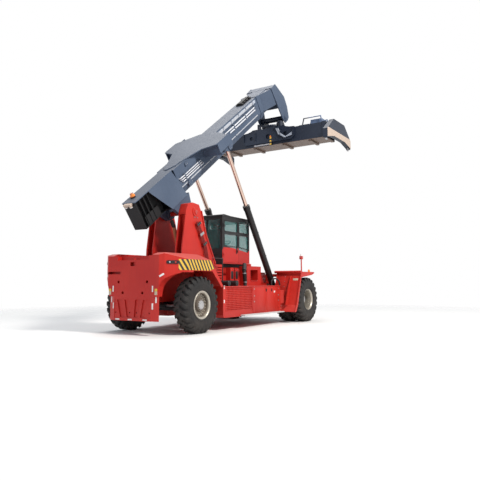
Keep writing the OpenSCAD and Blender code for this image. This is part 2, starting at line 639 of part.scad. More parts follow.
module steer_rod() color(steel) machine() {
    drum_y(-260, 800, 35, -760, 760);
    both() block([-320, 690, 770], [-200, 760, 830]);
}

// Boom

// Cross section of a boom box, inset from the outer boom's faces, with its lower corners cut off
function boom_section(inset) = across([[boom_y - inset, boom_top - inset],
    [boom_y - inset, boom_bottom + boom_cut + 0.2264 * inset],
    [boom_y - boom_cut / 2.1 - 0.6308 * inset, boom_bottom + inset]]);

module outer_boom() color(boom_blue) on_boom() {
    mouth = boom_front + 200;
    pad = boom_gap - seat_gap;
    difference() {
        union() {
            plate_yz(boom_section(0), 250, mouth);
            plate_yz(boom_section(-22), boom_front - 160, boom_front + 60);
            // Round boss low on the root
            both() drum_y(770, 690, 120, boom_y - 150, boom_y + 42);
        }
        plate_yz(boom_section(boom_wall), 249, mouth + 1);
        plate_xz([[boom_front, boom_top + 23], [mouth + 1, boom_bottom + 240], [mouth + 1, boom_top + 23]],
            -boom_y - 30, boom_y + 30);
    }
    // Front slide pads
    block([boom_front - 300, -180, boom_bottom + boom_wall - 1],
        [boom_front, 180, boom_bottom + boom_wall + pad]);
    both() block([boom_front - 300, boom_y - boom_wall - pad, boom_bottom + 320],
        [boom_front, boom_y - boom_wall + 1, boom_bottom + 520]);
    // Root with sloping cheeks, and the open tail behind it
    difference() {
        plate_yz(across([[480, boom_bottom], [260, boom_top]]), -1100, 251);
        plate_yz(across([[455, boom_bottom + 25], [238, boom_top - 25]]), -1101, 230);
        plate_xz([[-1101, boom_top - 1], [-1101, boom_bottom - 1], [-640, boom_bottom - 1]], -500, 500);
    }
    block([-1750, -260, boom_top - 25], [-1000, 260, boom_top]);
    block([-1750, -230, boom_bottom], [-620, 230, boom_bottom + 25]);
    both() {
        block([-1750, 120, boom_bottom + 24], [-640, 140, boom_top - 24]);
        block([-1600, 200, boom_bottom + 24], [-900, 215, boom_bottom + 330]);
    }
    for (x = [-1750, -1560, -1370, -1180])
        block([x, -235, boom_bottom + 1], [x + 16, 235, boom_top - 24]);
    // Lugs down to the pivot
    both() difference() {
        union() {
            plate_xz([[-560, boom_bottom + 2], [-330, 60], [-200, -130], [0, -200], [170, -120], [330, 200],
                [420, boom_bottom + 2]], 300, tower_in - side_gap);
            drum_y(0, 0, 170, 240, tower_in - side_gap);
        }
        drum_y(0, 0, pivot_pin_r + pin_gap, 0, tower_in);
    }
}

module boom_saddle() color(boom_blue) on_boom() {
    rows = [[290, 40], [560, 230], [740, 250], [1200, 420], [1620, 600], [1850, 1080], [2000, 1110], [2620, 1110],
        [3150, boom_y]];
    cheek = [[2250, boom_top], [2400, 940], [2560, 850], [2800, 850], [2920, 940], [3040, boom_top]];
    plate_xy(doubled(rows), boom_top + seat_gap, boom_top + 30);
    both() {
        // Lip under the ear's outer edge, and the two cheeks that hold a lift pin
        block([1900, 1085, boom_top - 320], [2700, 1110, boom_top + 1]);
        for (y = [lift_y - 150, lift_y + 110])
            plate_xz(cheek, y, y + 40);
        drum_y(lift_pin_x, lift_pin_z, 120, lift_y - 185, lift_y - 149);
        drum_y(lift_pin_x, lift_pin_z, 120, lift_y + 149, lift_y + 185);
        // Webs from the boom's side out to the ear
        for (x = [2000, 2200])
            block([x, boom_y + seat_gap, boom_top - 420], [x + 30, 1086, boom_top + 1]);
        plate_xz([[1500, boom_top + 1], [1990, boom_top - 260], [2100, boom_top - 260], [2100, boom_top + 1]],
            boom_y + seat_gap, boom_y + 30);
    }
}

module boom_fittings() color(steel) on_boom() {
    side = boom_y + seat_gap;
    both() {
        // Four pipes along the side in their clamps, and the covered channel above them
        for (i = [0:3])
            bar([3250, side + 42, 1150 - i * 48], [6420, side + 42, 1150 - i * 48], 18);
        for (x = [3300, 4300, 5300, 6200])
            block([x, side, 980], [x + 60, side + 62, 1190]);
        block([3250, side, 1262], [6440, side + 48, 1362]);
        for (x = [3620, 4260, 4900, 5540, 6180])
            block([x, side, 1250], [x + 45, side + 70, 1378]);
    }
    // Beacon on the tail, and the hose carrier on the boom's front end
    translate([-1420, 60, boom_top + seat_gap]) cylinder(r = 75, h = 60);
    translate([-1420, 60, boom_top + 60]) cylinder(r1 = 75, r2 = 50, h = 85);
    for (x = [5830, 6050, 6270, 6490])
        block([x, -150, boom_top + seat_gap], [x + 130, 150, boom_top + 75]);
    block([5830, -80, boom_top + 70], [6620, 80, boom_top + 110]);
    // Lamp bracket at the tail's end
    block([-1860, -140, boom_top - 60], [-1750 - seat_gap, 140, boom_top - 10]);
    for (y = [-90, 90])
        translate([-1800, y, boom_top - 130]) cylinder(r = 50, h = 75);
}

module inner_boom() color(boom_blue) on_boom() {
    inset = boom_wall + boom_gap;
    y = boom_y - inset;
    z1 = boom_top - inset;
    pad = boom_gap - seat_gap;
    difference() {
        plate_yz(boom_section(inset), 700, 7700);
        plate_yz(boom_section(inset + boom_wall), 699, 7701);
    }
    // Rear slide pads
    block([700, -y + 60, z1 - 1], [1000, y - 60, z1 + pad]);
    both() block([700, y - 1, z1 - 300], [1000, y + pad, z1 - 60]);
}

module boom_head() color(boom_blue) on_boom() {
    y = boom_y - boom_wall - boom_gap + seat_gap;
    nose = [[7670, 1360], [8120, 1385], [8570, 660], [8570, 210], [8420, -240], [8250, -310], [7980, -310],
        [7850, -90], [7770, 610]];
    both() {
        difference() {
            union() {
                plate_xz(nose, 560, 600);
                drum_y(hang_x, -hang_z, 130, 599, 622);
            }
            drum_y(hang_x, -hang_z, 60.02, 500, 700);
        }
        // Cheek that widens from the boom to the nose, and its ribs
        plate_xy([[7100, y], [7700, y], [7700, 561], [7660, 561]], 640, 1340);
        block([7690, y, 1000], [7720, 561, 1340]);
        block([7690, y, 640], [7720, 561, 700]);
    }
    // Cover over the nose's top and front
    block([7700, -561, 1330], [8110, 561, 1370]);
    plate_xz([[8110, 1370], [8555, 655], [8555, 215], [8505, 215], [8505, 640], [8070, 1330]], -561, 561);
    block([7701, -561, 660], [7730, 561, 1331]);
    drum_y(hang_x, -hang_z, 60, -640, 640);
}

// Lift cylinders

module lift_barrels() color(black) on_lift() both() difference() {
    union() {
        bar([230, lift_y, 0], [barrel_len, lift_y, 0], barrel_r);
        bar([barrel_len - 150, lift_y, 0], [barrel_len, lift_y, 0], barrel_r + 14);
        drum_y(0, 0, 130, lift_y - 80, lift_y + 80);
        block([0, lift_y - 80, -90], [231, lift_y + 80, 90]);
        // Feed pipe on the front side
        bar([420, lift_y + 20, -barrel_r - 34], [barrel_len - 60, lift_y + 20, -barrel_r - 34], 20);
        for (x = [440, 1400, 2400, barrel_len - 120])
            block([x, lift_y - 10, -barrel_r - 40], [x + 50, lift_y + 50, -barrel_r + 8]);
    }
    bar([400, lift_y, 0], [barrel_len + 1, lift_y, 0], rod_r + 1);
    drum_y(0, 0, lift_pin_r + pin_gap, lift_y - 100, lift_y + 100);
}

module lift_rods() color(steel) on_lift() both() {
    bar([lift_len - 3600, lift_y, 0], [lift_len - 100, lift_y, 0], rod_r);
    drum_y(lift_len, 0, 125, lift_y - 95, lift_y + 95);
}

// Spreader

module spreader_yoke() color(navy) on_hanger() {
    top = frame_top + 200;
    difference() {
        union() {
            drum_y(0, hang_pz, 115, -545, 545);
            both() plate_xz([[-330, top], [-330, top + 130], [-115, hang_pz - 30], [0, hang_pz + 60],
                [115, hang_pz - 30], [330, top + 130], [330, top]], 320, 400);
        }
        drum_y(0, hang_pz, 60 + pin_gap, -551, 551);
    }
    translate([0, 0, top]) cylinder(r = 470, h = 72);
    // Damper arms, reaching forward
    both() {
        bar([150, 450, top + 60], [640, 450, top - 20], 38);
        block([-60, 400, top + 20], [180, 500, top + 90]);
    }
}

module rotator() color(navy) on_hanger() {
    w = frame_w / 2;
    translate([0, 0, frame_top + 110]) cylinder(r = 440, h = 90 - seat_gap);
    block([-w - 70, -560, frame_top + side_gap], [w + 70, 560, frame_top + 111]);
    // Plates down the frame's sides, with their hooks under its top
    for (s = [-1, 1])
        translate([s * (w + 45), 0, 0]) difference() {
            plate_yz(across([[1120, frame_z + 130], [1250, frame_z + 260], [1250, frame_top + 10],
                [1000, frame_top + 30], [820, frame_top + 80], [760, frame_top + 125], [480, frame_top + 125],
                [430, frame_top + 110]]), -25, 25);
            translate([-26, 0, frame_z + 380]) rotate([0, 90, 0]) cylinder(r = 110, h = 52);
            for (y = [-820, 820])
                translate([-26, y, frame_z + 400]) rotate([0, 90, 0]) cylinder(r = 85, h = 52);
        }
    // Ribs on the rear plate, and the hose pipes that run down it
    for (y = [-1180, -600, 600, 1180])
        block([-w - 110, y - 10, frame_z + 280], [-w - 69, y + 10, frame_top - 20]);
    for (i = [0:2]) {
        translate([-w - 95, 0, frame_z])
            pipe([[0, -380 - i * 50, frame_h + 90], [0, -520 - i * 45, 420], [0, -800 - i * 30, 240],
                [0, -1160, 300 + i * 50]], 17);
    }
    block([-w - 115, -560, frame_top + 40], [-w - 69, -340, frame_top + 100]);
    // Slewing motors
    for (y = [-1, 1])
        translate([-330, y * 520, frame_top + 110]) cylinder(r = 85, h = 270);
    // Slide pads on the main frame's top
    for (x = [-300, 300], y = [-420, 420])
        translate([x, y, frame_top])
            block([-100, -120, seat_gap], [100, 120, side_gap + 1]);
}

module spreader_frame() color(navy) on_hanger() {
    w = frame_w / 2;
    half = frame_half;
    difference() {
        union() {
            block([-w, -half, frame_z], [w, half, frame_top]);
            // Collars round both ends
            both() block([-w - 22, half - 150, frame_z - 22], [w + 22, half, frame_top + 22]);
        }
        for (s = [-1, 1])
            block([s * w / 2 - w / 2 + 25, -half - 1, frame_z + 25],
                [s * w / 2 + w / 2 - 25, half + 1, frame_top - 25]);
    }
    // Pads at each mouth, under the sliding beams
    for (s = [-1, 1])
        translate([s * w / 2, 0, 0])
            block([-120, s > 0 ? half - 120 : -half, frame_z + 24],
                [120, s > 0 ? half : -half + 120, frame_z + 45 - seat_gap]);
    // Control box on the right with the tube guard over it, and a pump box on the left
    block([-300, -2400, frame_top - 1], [200, -1900, frame_top + 210]);
    block([-320, 1750, frame_top - 1], [250, 2250, frame_top + 190]);
    both() for (x = [-400, 380])
        bar([x, -1880, frame_top + 9], [x, -1420, frame_top + 9], 22);
    for (x = [-380, 300]) {
        bar([x, -1560, frame_top - 3], [x, -1640, frame_top + 305], 24);
        bar([x, -1636, frame_top + 290], [x, -2384, frame_top + 290], 21);
        bar([x, -2380, frame_top + 305], [x, -2450, frame_top - 3], 24);
    }
    // Guide arms under the frame's underside, and the row of brackets on the rear face
    for (y = [-1900, -700, 700, 1900])
        block([-w + 40, y - 60, frame_z - 70], [w - 40, y + 60, frame_z + 1]);
}

// One end of the spreader: a sliding beam in its half of the main frame, and the end beam across its tip
module end_beam(side) on_hanger() mirror([0, side > 0 ? 0 : 1, 0]) {
    w = frame_w / 2;
    y = lock_y / 2;
    s = side;
    difference() {
        block([s * w / 2 - w / 2 + 45, -1500, frame_z + 45], [s * w / 2 + w / 2 - 45, y - 99, frame_top - 45]);
        block([s * w / 2 - w / 2 + 60, -1501, frame_z + 60], [s * w / 2 + w / 2 - 60, y - 101, frame_top - 60]);
    }
    translate([s * w / 2, 0, 0])
        block([-120, -1500, frame_top - 46], [120, -1380, frame_top - 25 - seat_gap]);
    // End beam, deep in the middle and shallow at its tips, open to the inside
    difference() {
        plate_xz([[-lock_x / 2 - 90, lock_z + 100], [-lock_x / 2 - 90, lock_z + 430], [-560, frame_top],
            [560, frame_top], [lock_x / 2 + 90, lock_z + 430], [lock_x / 2 + 90, lock_z + 100], [560, lock_z + 250],
            [-560, lock_z + 250]], y - 100, y + 100);
        for (x = [-1, 1])
            translate([x * lock_x / 2, y, lock_z + 99]) cylinder(r = 40 + pin_gap, h = 200);
        plate_xz([[-lock_x / 2 + 100, lock_z + 200], [-lock_x / 2 + 100, lock_z + 400], [-640, frame_top - 80],
            [-600, lock_z + 330]], y - 101, y + 70);
        plate_xz([[lock_x / 2 - 100, lock_z + 200], [lock_x / 2 - 100, lock_z + 400], [640, frame_top - 80],
            [600, lock_z + 330]], y - 101, y + 70);
    }
    // Landing feet beside the twistlocks
    for (x = [-1, 1])
        translate([x * (lock_x / 2 + 60), y, 0])
            block([-28, -80, lock_z + 60], [28, 80, lock_z + 101]);
}
module end_beam_right() color(navy) end_beam(-1);
module end_beam_left() color(navy) end_beam(1);

module twistlock(sx, sy) color(steel) on_hanger() translate([sx * lock_x / 2, sy * lock_y / 2, lock_z]) {
    plate_xy([[-50, -28], [50, -28], [50, 28], [-50, 28]], 0, 45);
    translate([0, 0, 44]) cylinder(r = 28, h = 60);
    translate([0, 0, 103]) cylinder(r = 40, h = 150);
}
module twistlock_right_front() twistlock(1, -1);
module twistlock_right_rear() twistlock(-1, -1);
module twistlock_left_front() twistlock(1, 1);
module twistlock_left_rear() twistlock(-1, 1);

main_frame();
counterweight();
rear_fenders();
boom_tower();
side_boxes();
steps_and_pipes();
front_fenders();
front_axle();
rear_axle();
engine_block();
deck();
exhaust();
cab_shell();
cab_glass();
cab_seat();
lamps();
cab_door();
door_glass();
knuckle_right();
knuckle_left();
rear_tyre_right();
rear_rim_right();
rear_tyre_left();
rear_rim_left();
front_tyres_right();
front_rims_right();
front_tyres_left();
front_rims_left();
steer_rod();
outer_boom();
boom_saddle();
boom_fittings();
inner_boom();
boom_head();
lift_barrels();
lift_rods();
spreader_yoke();
rotator();
spreader_frame();
end_beam_right();
end_beam_left();
twistlock_right_front();
twistlock_right_rear();
twistlock_left_front();
twistlock_left_rear();
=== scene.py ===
"""Looks of a container reach stacker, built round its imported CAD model. Lengths are in metres."""

import json
import math

import bmesh
import bpy
from mathutils import Matrix, Vector


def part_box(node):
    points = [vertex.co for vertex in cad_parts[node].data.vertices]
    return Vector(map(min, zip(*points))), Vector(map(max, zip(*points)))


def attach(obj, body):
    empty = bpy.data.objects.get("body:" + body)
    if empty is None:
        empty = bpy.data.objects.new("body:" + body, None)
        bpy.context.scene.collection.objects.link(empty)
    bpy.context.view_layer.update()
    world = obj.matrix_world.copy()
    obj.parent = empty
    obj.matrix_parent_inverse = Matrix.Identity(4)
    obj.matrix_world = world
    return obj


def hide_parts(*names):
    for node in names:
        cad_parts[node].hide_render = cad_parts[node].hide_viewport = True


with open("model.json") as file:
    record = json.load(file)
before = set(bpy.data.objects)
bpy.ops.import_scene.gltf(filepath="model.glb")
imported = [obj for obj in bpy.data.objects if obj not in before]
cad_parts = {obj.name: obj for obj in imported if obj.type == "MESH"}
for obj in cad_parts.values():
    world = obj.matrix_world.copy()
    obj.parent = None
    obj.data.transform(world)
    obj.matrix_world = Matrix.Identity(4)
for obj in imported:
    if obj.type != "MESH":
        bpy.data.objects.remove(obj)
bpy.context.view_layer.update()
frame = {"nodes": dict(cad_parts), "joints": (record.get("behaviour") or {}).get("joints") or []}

FORWARD, LEFTWARD, UPWARD = Vector((1, 0, 0)), Vector((0, 1, 0)), Vector((0, 0, 1))
BACKWARD = Vector((-1, 0, 0))
SIDES = ((-1, "right"), (1, "left"))

# Places worked out from the frame
JOINTS = {joint["name"]: joint for joint in frame["joints"]}
wheel_low, wheel_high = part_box("rear_tyre_right")
REAR_AXLE = (wheel_low.x + wheel_high.x) / 2
TYRE_R = (wheel_high.z - wheel_low.z) / 2
TYRE_W = wheel_high.y - wheel_low.y
REAR_TRACK = -(wheel_low.y + wheel_high.y) / 2
twin_low, twin_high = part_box("front_tyres_right")
FRONT_AXLE = (twin_low.x + twin_high.x) / 2
TWIN_OUTER = -twin_low.y - TYRE_W / 2
TWIN_INNER = -twin_high.y + TYRE_W / 2
TWIN_MIDDLE = (TWIN_OUTER + TWIN_INNER) / 2
PIVOT = Vector(JOINTS["boom_lift"]["pos_m"])
BOOM_ANGLE = -math.radians(JOINTS["boom_lift"]["range_deg"][0])
BOOM_AXIS = Vector((math.cos(BOOM_ANGLE), 0, math.sin(BOOM_ANGLE)))
BOOM_UP = Vector((-math.sin(BOOM_ANGLE), 0, math.cos(BOOM_ANGLE)))
BASE_PIN = Vector(JOINTS["lift_barrel_swing"]["pos_m"])
HANG_PIN = Vector(JOINTS["spreader_tilt"]["pos_m"])

# Sizes shared by several pieces
RIM_R = 0.385
BOX_Y = 1.5
LIFT_Y = 0.85
EYE_ALONG, EYE_UP = 2.687, 0.985


def machine(x, y, z):
    """A point given from the rear axle, in the row frame."""
    return Vector((REAR_AXLE + x, y, z))


def on_boom(x, y, z):
    """A point given along and square to the boom from its pivot."""
    c, s = math.cos(BOOM_ANGLE), math.sin(BOOM_ANGLE)
    return PIVOT + Vector((c * x - s * z, y, s * x + c * z))


def on_hanger(x, y, z):
    """A point given from the spreader's hanging pin, with its height from the ground."""
    return Vector((HANG_PIN.x + x, y, z))


LIFT_AXIS = (on_boom(EYE_ALONG, 0, EYE_UP) - BASE_PIN).normalized()


def on_lift(x, y):
    """A point on a lift cylinder's centre line, from the base pin towards the rod's eye."""
    return BASE_PIN + LIFT_AXIS * x + Vector((0, y, 0))


# Materials


def node_tools(owner):
    """Clears a node tree and gives a function that adds a node to it, with its inputs linked or set."""
    tree = owner.node_tree
    tree.nodes.clear()

    def add(kind, inputs=(), **settings):
        node = tree.nodes.new(kind)
        for key, value in settings.items():
            setattr(node, key, value)
        for key, value in dict(inputs).items():
            if isinstance(value, bpy.types.NodeSocket):
                tree.links.new(value, node.inputs[key])
            else:
                node.inputs[key].default_value = value
        return node

    return add


def noise(add, place, scale, detail, rough=0.55):
    """Noise that stays on the object. Its scale is per metre."""
    inputs = {"Vector": place, "Scale": scale, "Detail": detail, "Roughness": rough}
    return add("ShaderNodeTexNoise", inputs).outputs[0]


def spread(add, value, low, high, out_low, out_high):
    """Maps a range of values to another, clamped at its ends."""
    inputs = {"Value": value, "From Min": low, "From Max": high, "To Min": out_low, "To Max": out_high}
    return add("ShaderNodeMapRange", inputs).outputs[0]


def multiplied(add, a, b):
    return add("ShaderNodeMath", {0: a, 1: b}, operation="MULTIPLY").outputs[0]


def blend(add, factor, a, b):
    """Mixes two colours, each a socket or a value."""
    node = add("ShaderNodeMix", data_type="RGBA")
    for key, value in (("Factor_Float", factor), ("A_Color", a), ("B_Color", b)):
        socket = next(s for s in node.inputs if s.identifier == key)
        if isinstance(value, bpy.types.NodeSocket):
            node.id_data.links.new(value, socket)
        else:
            socket.default_value = value
    return next(s for s in node.outputs if s.identifier == "Result_Color")


def colour(r, g, b):
    return (r, g, b, 1.0)


def dimmed(tone, share):
    """A colour times a share, no brighter than one."""
    return colour(*(min(part * share, 1.0) for part in tone[:3]))


# Patterns of the finishes: scales are per metre, and ranges are the part of a noise that shows
FADE_SCALE, FADE_RANGE = 0.7, (0.35, 0.68)
WEAR_RANGE, GRAIN_RANGE = (0.60, 0.74), (0.3, 0.75)
STREAK_SCALE, STREAK_RANGE, STREAK_STRETCH, STREAK_SHADE = 2.2, (0.56, 0.78), (9.0, 9.0, 0.55), 0.35
DUST = colour(0.42, 0.33, 0.26)
DUST_SCALE, DUST_RANGE = 3.4, (0.32, 0.72)
DUST_TOP, DUST_ABOVE = 1.7, 0.12
FACING_UP = (0.50, 0.85)
PIT_DEPTH = 0.002
COAT_ROUGH = 0.12
ZONE_EDGE = 0.002
ZONE_FADE_RANGE, ZONE_FADE, ZONE_PALER = (0.3, 0.7), 0.5, 1.3
FAR = 99.0


def zone_mask(add, place, limits):
    """One inside a region of the object, nought outside. A limit is an axis with its low and high reach."""
    mask = 1.0
    for axis, low, high in limits:
        inputs = {0: place, 1: tuple(axis)}
        reach = add("ShaderNodeVectorMath", inputs, operation="DOT_PRODUCT").outputs["Value"]
        mask = multiplied(add, spread(add, reach, low - ZONE_EDGE, low + ZONE_EDGE, 0.0, 1.0), mask)
        mask = multiplied(add, spread(add, reach, high - ZONE_EDGE, high + ZONE_EDGE, 1.0, 0.0), mask)
    return mask


def streaked(add, place, shade, base, streak):
    """Adds dark rain streaks that run down."""
    run = add("ShaderNodeMapping", {"Vector": place, "Scale": STREAK_STRETCH}).outputs[0]
    lines = spread(add, noise(add, run, STREAK_SCALE, 4.0), *STREAK_RANGE, 0.0, streak)
    return blend(add, lines, shade, dimmed(base, STREAK_SHADE))


def dusted(add, place, shade, dust):
    """Adds patches of dust that thicken towards the ground."""
    height = add("ShaderNodeSeparateXYZ", {"Vector": place}).outputs[2]
    near_ground = spread(add, height, 0.0, DUST_TOP, 1.0, DUST_ABOVE)
    patches = spread(add, noise(add, place, DUST_SCALE, 7.0, 0.7), *DUST_RANGE, 0.0, dust)
    return blend(add, multiplied(add, near_ground, patches), shade, DUST)


def dust_and_sheen_on_tops(add, normal, shade, amount, tone):
    """Lightens the faces that look up: partly dust lying on them, partly a painted sheen of the light from
    above.
    """
    upright = add("ShaderNodeSeparateXYZ", {"Vector": normal}).outputs[2]
    return blend(add, spread(add, upright, *FACING_UP, 0.0, amount), shade, tone)


def painted_zones(add, place, fine, shade, zones):
    """Paints regions over a finish, each in its own slightly uneven colour."""
    for tone, limits in zones:
        fading = spread(add, fine, *ZONE_FADE_RANGE, 0.0, ZONE_FADE)
        uneven = blend(add, fading, tone, dimmed(tone, ZONE_PALER))
        shade = blend(add, zone_mask(add, place, limits), shade, uneven)
    return shade


def finish_of(name, base, faded, worn, rough, metal=0.0, coat=0.0, grain=14.0, dust=0.0, streak=0.0,
              speckle=0.25, bump=0.12, bump_scale=220.0, alpha=1.0, shine=0.5, top_dust_and_sheen=None, zones=()):
    """A surface with broad fading, small worn spots, streaks, dust and a fine bump.

    The upward faces' pair gives how strongly the faces that look up are lightened, and to which colour:
    partly dust lying on them, partly a painted sheen of the light from above.
    Each zone is a colour and the limits of the region that is painted with it.
    """
    material = bpy.data.materials.new(name)
    material.use_nodes = True
    add = node_tools(material)
    coordinates = add("ShaderNodeTexCoord")
    place = coordinates.outputs["Object"]
    fine = noise(add, place, grain, 8.0, 0.62)
    fading = spread(add, noise(add, place, FADE_SCALE, 3.0), *FADE_RANGE, 0.0, 1.0)
    shade = blend(add, fading, base, faded)
    shade = blend(add, spread(add, fine, *WEAR_RANGE, 0.0, speckle), shade, worn)
    if streak:
        shade = streaked(add, place, shade, base, streak)
    if dust:
        shade = dusted(add, place, shade, dust)
    # Faces that look up are lightened: partly dust, partly a painted sheen of the light from above
    if top_dust_and_sheen:
        shade = dust_and_sheen_on_tops(add, coordinates.outputs["Normal"], shade, *top_dust_and_sheen)
    shade = painted_zones(add, place, fine, shade, zones)
    roughness = spread(add, fine, *GRAIN_RANGE, max(rough - 0.04, 0.02), min(rough + 0.08, 1.0))
    pits = noise(add, place, bump_scale, 3.0)
    relief = add("ShaderNodeBump", {"Height": pits, "Strength": bump, "Distance": PIT_DEPTH}).outputs[0]
    inputs = {"Base Color": shade, "Roughness": roughness, "Metallic": metal, "Normal": relief,
              "Coat Weight": coat, "Coat Roughness": COAT_ROUGH, "Alpha": alpha, "Specular IOR Level": shine}
    surface = add("ShaderNodeBsdfPrincipled", inputs)
    add("ShaderNodeOutputMaterial", {"Surface": surface.outputs[0]})
    material.diffuse_color = base
    return material


# Regions of the machine that are painted in another colour

PIVOT_ALONG, PIVOT_UP = PIVOT.dot(BOOM_AXIS), PIVOT.dot(BOOM_UP)


def along_boom(low, high):
    """A limit from low to high along the boom, from its pivot."""
    return (BOOM_AXIS, PIVOT_ALONG + low, PIVOT_ALONG + high)


def above_boom(low, high):
    """A limit from low to high across the boom, from its pivot."""
    return (BOOM_UP, PIVOT_UP + low, PIVOT_UP + high)


def outside_of(y):
    """The limits beyond a distance from the middle plane, on the right and on the left."""
    return ((LEFTWARD, -FAR, -y), (LEFTWARD, y, FAR))


PAINT_RED = colour(0.42, 0.014, 0.010)
PAINT_SHADED = dimmed(PAINT_RED, 0.5)
PAINT_BLACK = colour(0.008, 0.008, 0.009)
PAINT_PALE = colour(0.34, 0.37, 0.43)
PAINT_BEIGE = colour(0.46, 0.36, 0.29)
PAINT_BROWN = colour(0.15, 0.105, 0.080)
PAINT_BLUE = colour(0.09, 0.13, 0.22)

# Deck, pipes, exhaust and cab
PLATFORM = ((FORWARD, REAR_AXLE + 2.3, REAR_AXLE + 4.2), (UPWARD, 1.975, 2.2), (LEFTWARD, -0.47, 0.47))
LOOP_HOSE = ((FORWARD, REAR_AXLE + 4.5, FAR), (UPWARD, 0.5, FAR))
CANISTERS = ((FORWARD, REAR_AXLE + 1.4, REAR_AXLE + 3.3), (UPWARD, 1.344, FAR))
TOWER_PIPES = ((FORWARD, -FAR, REAR_AXLE + 1.44), (UPWARD, 1.344, FAR))
EXHAUST_TIP = ((UPWARD, 3.16, FAR),)
DOOR_LOWER = ((UPWARD, 0.0, 2.655),)
CAB_LOWER = (UPWARD, 2.1, 2.59)
CAB_SIDE = 0.6635

# Boom
# Painted shade: the tail's side and the root between its cheeks are painted black for the dark, shaded
# hollow of the open boom tail
TAIL_HOLLOW_SHADE = (along_boom(-FAR, -1.06), above_boom(-FAR, 1.383))
CABLE_TRAY = (along_boom(5.5, FAR), above_boom(1.41, FAR))
CABLE_CHANNEL = (along_boom(3.2, 6.5), above_boom(1.262, 1.363))
TAIL_PLATE = (along_boom(-1.9, -1.72), above_boom(1.2, 1.41))
CHEEK_LEAN = Vector((0.972, 0.235))
CHEEK_REACH = PIVOT_UP * CHEEK_LEAN.y + 0.575
ROOT_HOLLOW_SHADE = [along_boom(-FAR, 0.24), above_boom(0.49, 1.38)]
for cheek_side in (-1, 1):
    cheek_axis = LEFTWARD * cheek_side * CHEEK_LEAN.x + BOOM_UP * CHEEK_LEAN.y
    ROOT_HOLLOW_SHADE.append((cheek_axis, -FAR, CHEEK_REACH))

# Spreader
END_OUT = 2.9265 + 0.098
END_BAND = (UPWARD, 0.0, HANG_PIN.z - 1.07)
ROTATOR_BACK = (FORWARD, -FAR, HANG_PIN.x - 0.5245)
ROTATOR_LOWER = (UPWARD, 0.0, HANG_PIN.z - 0.57)
PIPE_RUNS = ((LEFTWARD, -1.165, -0.615), (LEFTWARD, -0.585, -0.33))
UNDERSIDE = ((UPWARD, 0.0, HANG_PIN.z - 1.23),)
CONTROL_BOX = ((UPWARD, HANG_PIN.z - 0.60, FAR), (LEFTWARD, -2.45, -1.85))

# Finishes

# Red and boom finishes lighten their upward faces towards a pale tone: partly dust, partly a painted sheen
# of the light from above
RED_LOOK = dict(
    base=PAINT_RED, faded=colour(0.50, 0.024, 0.015), worn=colour(0.30, 0.012, 0.010), rough=0.40,
    dust=0.05, streak=0.22, bump=0.03, bump_scale=90.0, shine=0.28, top_dust_and_sheen=(0.11, colour(0.80, 0.62, 0.57)))
BLACK_LOOK = dict(
    base=PAINT_BLACK, faded=colour(0.015, 0.014, 0.016), worn=colour(0.04, 0.033, 0.030), rough=0.42,
    dust=0.05, streak=0.15, bump=0.04, bump_scale=90.0, shine=0.35)
BOOM_LOOK = dict(
    base=colour(0.052, 0.074, 0.118), faded=colour(0.074, 0.099, 0.148), worn=colour(0.12, 0.135, 0.17),
    rough=0.62, grain=5.0, streak=0.20, speckle=0.15, bump=0.01, bump_scale=30.0, shine=0.28,
    top_dust_and_sheen=(0.28, colour(0.21, 0.19, 0.165)))
NAVY_LOOK = dict(
    base=colour(0.008, 0.013, 0.027), faded=colour(0.014, 0.022, 0.042), worn=colour(0.06, 0.055, 0.055),
    rough=0.46, streak=0.25, speckle=0.3, bump=0.03, bump_scale=90.0, shine=0.35)
GREY_LOOK = dict(
    base=colour(0.46, 0.45, 0.45), faded=colour(0.56, 0.55, 0.55), worn=colour(0.26, 0.24, 0.22),
    rough=0.42, grain=24.0, dust=0.15)

RED = finish_of("red_paint", **RED_LOOK)
BLACK = finish_of("black_paint", **BLACK_LOOK)
BOOM = finish_of("boom_paint", **BOOM_LOOK)
NAVY = finish_of("spreader_paint", **NAVY_LOOK)
GREY = finish_of("step_grey", **GREY_LOOK)
DECK = finish_of("deck_paint", zones=[(PAINT_BLACK, PLATFORM)], **RED_LOOK)
DOOR = finish_of("door_paint", zones=[(PAINT_RED, DOOR_LOWER)], **BLACK_LOOK)
CAB = finish_of("cab_paint", zones=[(PAINT_RED, (CAB_LOWER, y)) for y in outside_of(CAB_SIDE)], **BLACK_LOOK)
# The black zones on the boom's tail are painted shade for the inside of its open hollow
BOOM_TAIL = finish_of(
    "boom_paint_tail", zones=[(PAINT_BLACK, TAIL_HOLLOW_SHADE), (PAINT_BLACK, ROOT_HOLLOW_SHADE)], **BOOM_LOOK)
FITTINGS = finish_of(
    "boom_fittings_paint",
    zones=[(PAINT_BLACK, CABLE_TRAY), (PAINT_PALE, CABLE_CHANNEL), (PAINT_BEIGE, TAIL_PLATE)], **BOOM_LOOK)
END_BEAM = finish_of(
    "end_beam_paint", zones=[(PAINT_BEIGE, (y, END_BAND)) for y in outside_of(END_OUT)], **NAVY_LOOK)
ROTATOR = finish_of(
    "rotator_paint", zones=[(PAINT_PALE, (ROTATOR_BACK, y, ROTATOR_LOWER)) for y in PIPE_RUNS], **NAVY_LOOK)
SPREADER = finish_of(
    "spreader_frame_paint", zones=[(PAINT_BROWN, UNDERSIDE), (PAINT_BLUE, CONTROL_BOX)], **NAVY_LOOK)
PIPES = finish_of(
    "pipe_grey",
    zones=[(PAINT_BLACK, CANISTERS), (PAINT_SHADED, TOWER_PIPES), (PAINT_BLACK, LOOP_HOSE)], **GREY_LOOK)
STEEL = finish_of(
    "bare_steel", colour(0.50, 0.50, 0.51), colour(0.38, 0.38, 0.39), colour(0.26, 0.23, 0.20),
    rough=0.32, metal=0.85, grain=30.0, dust=0.2)
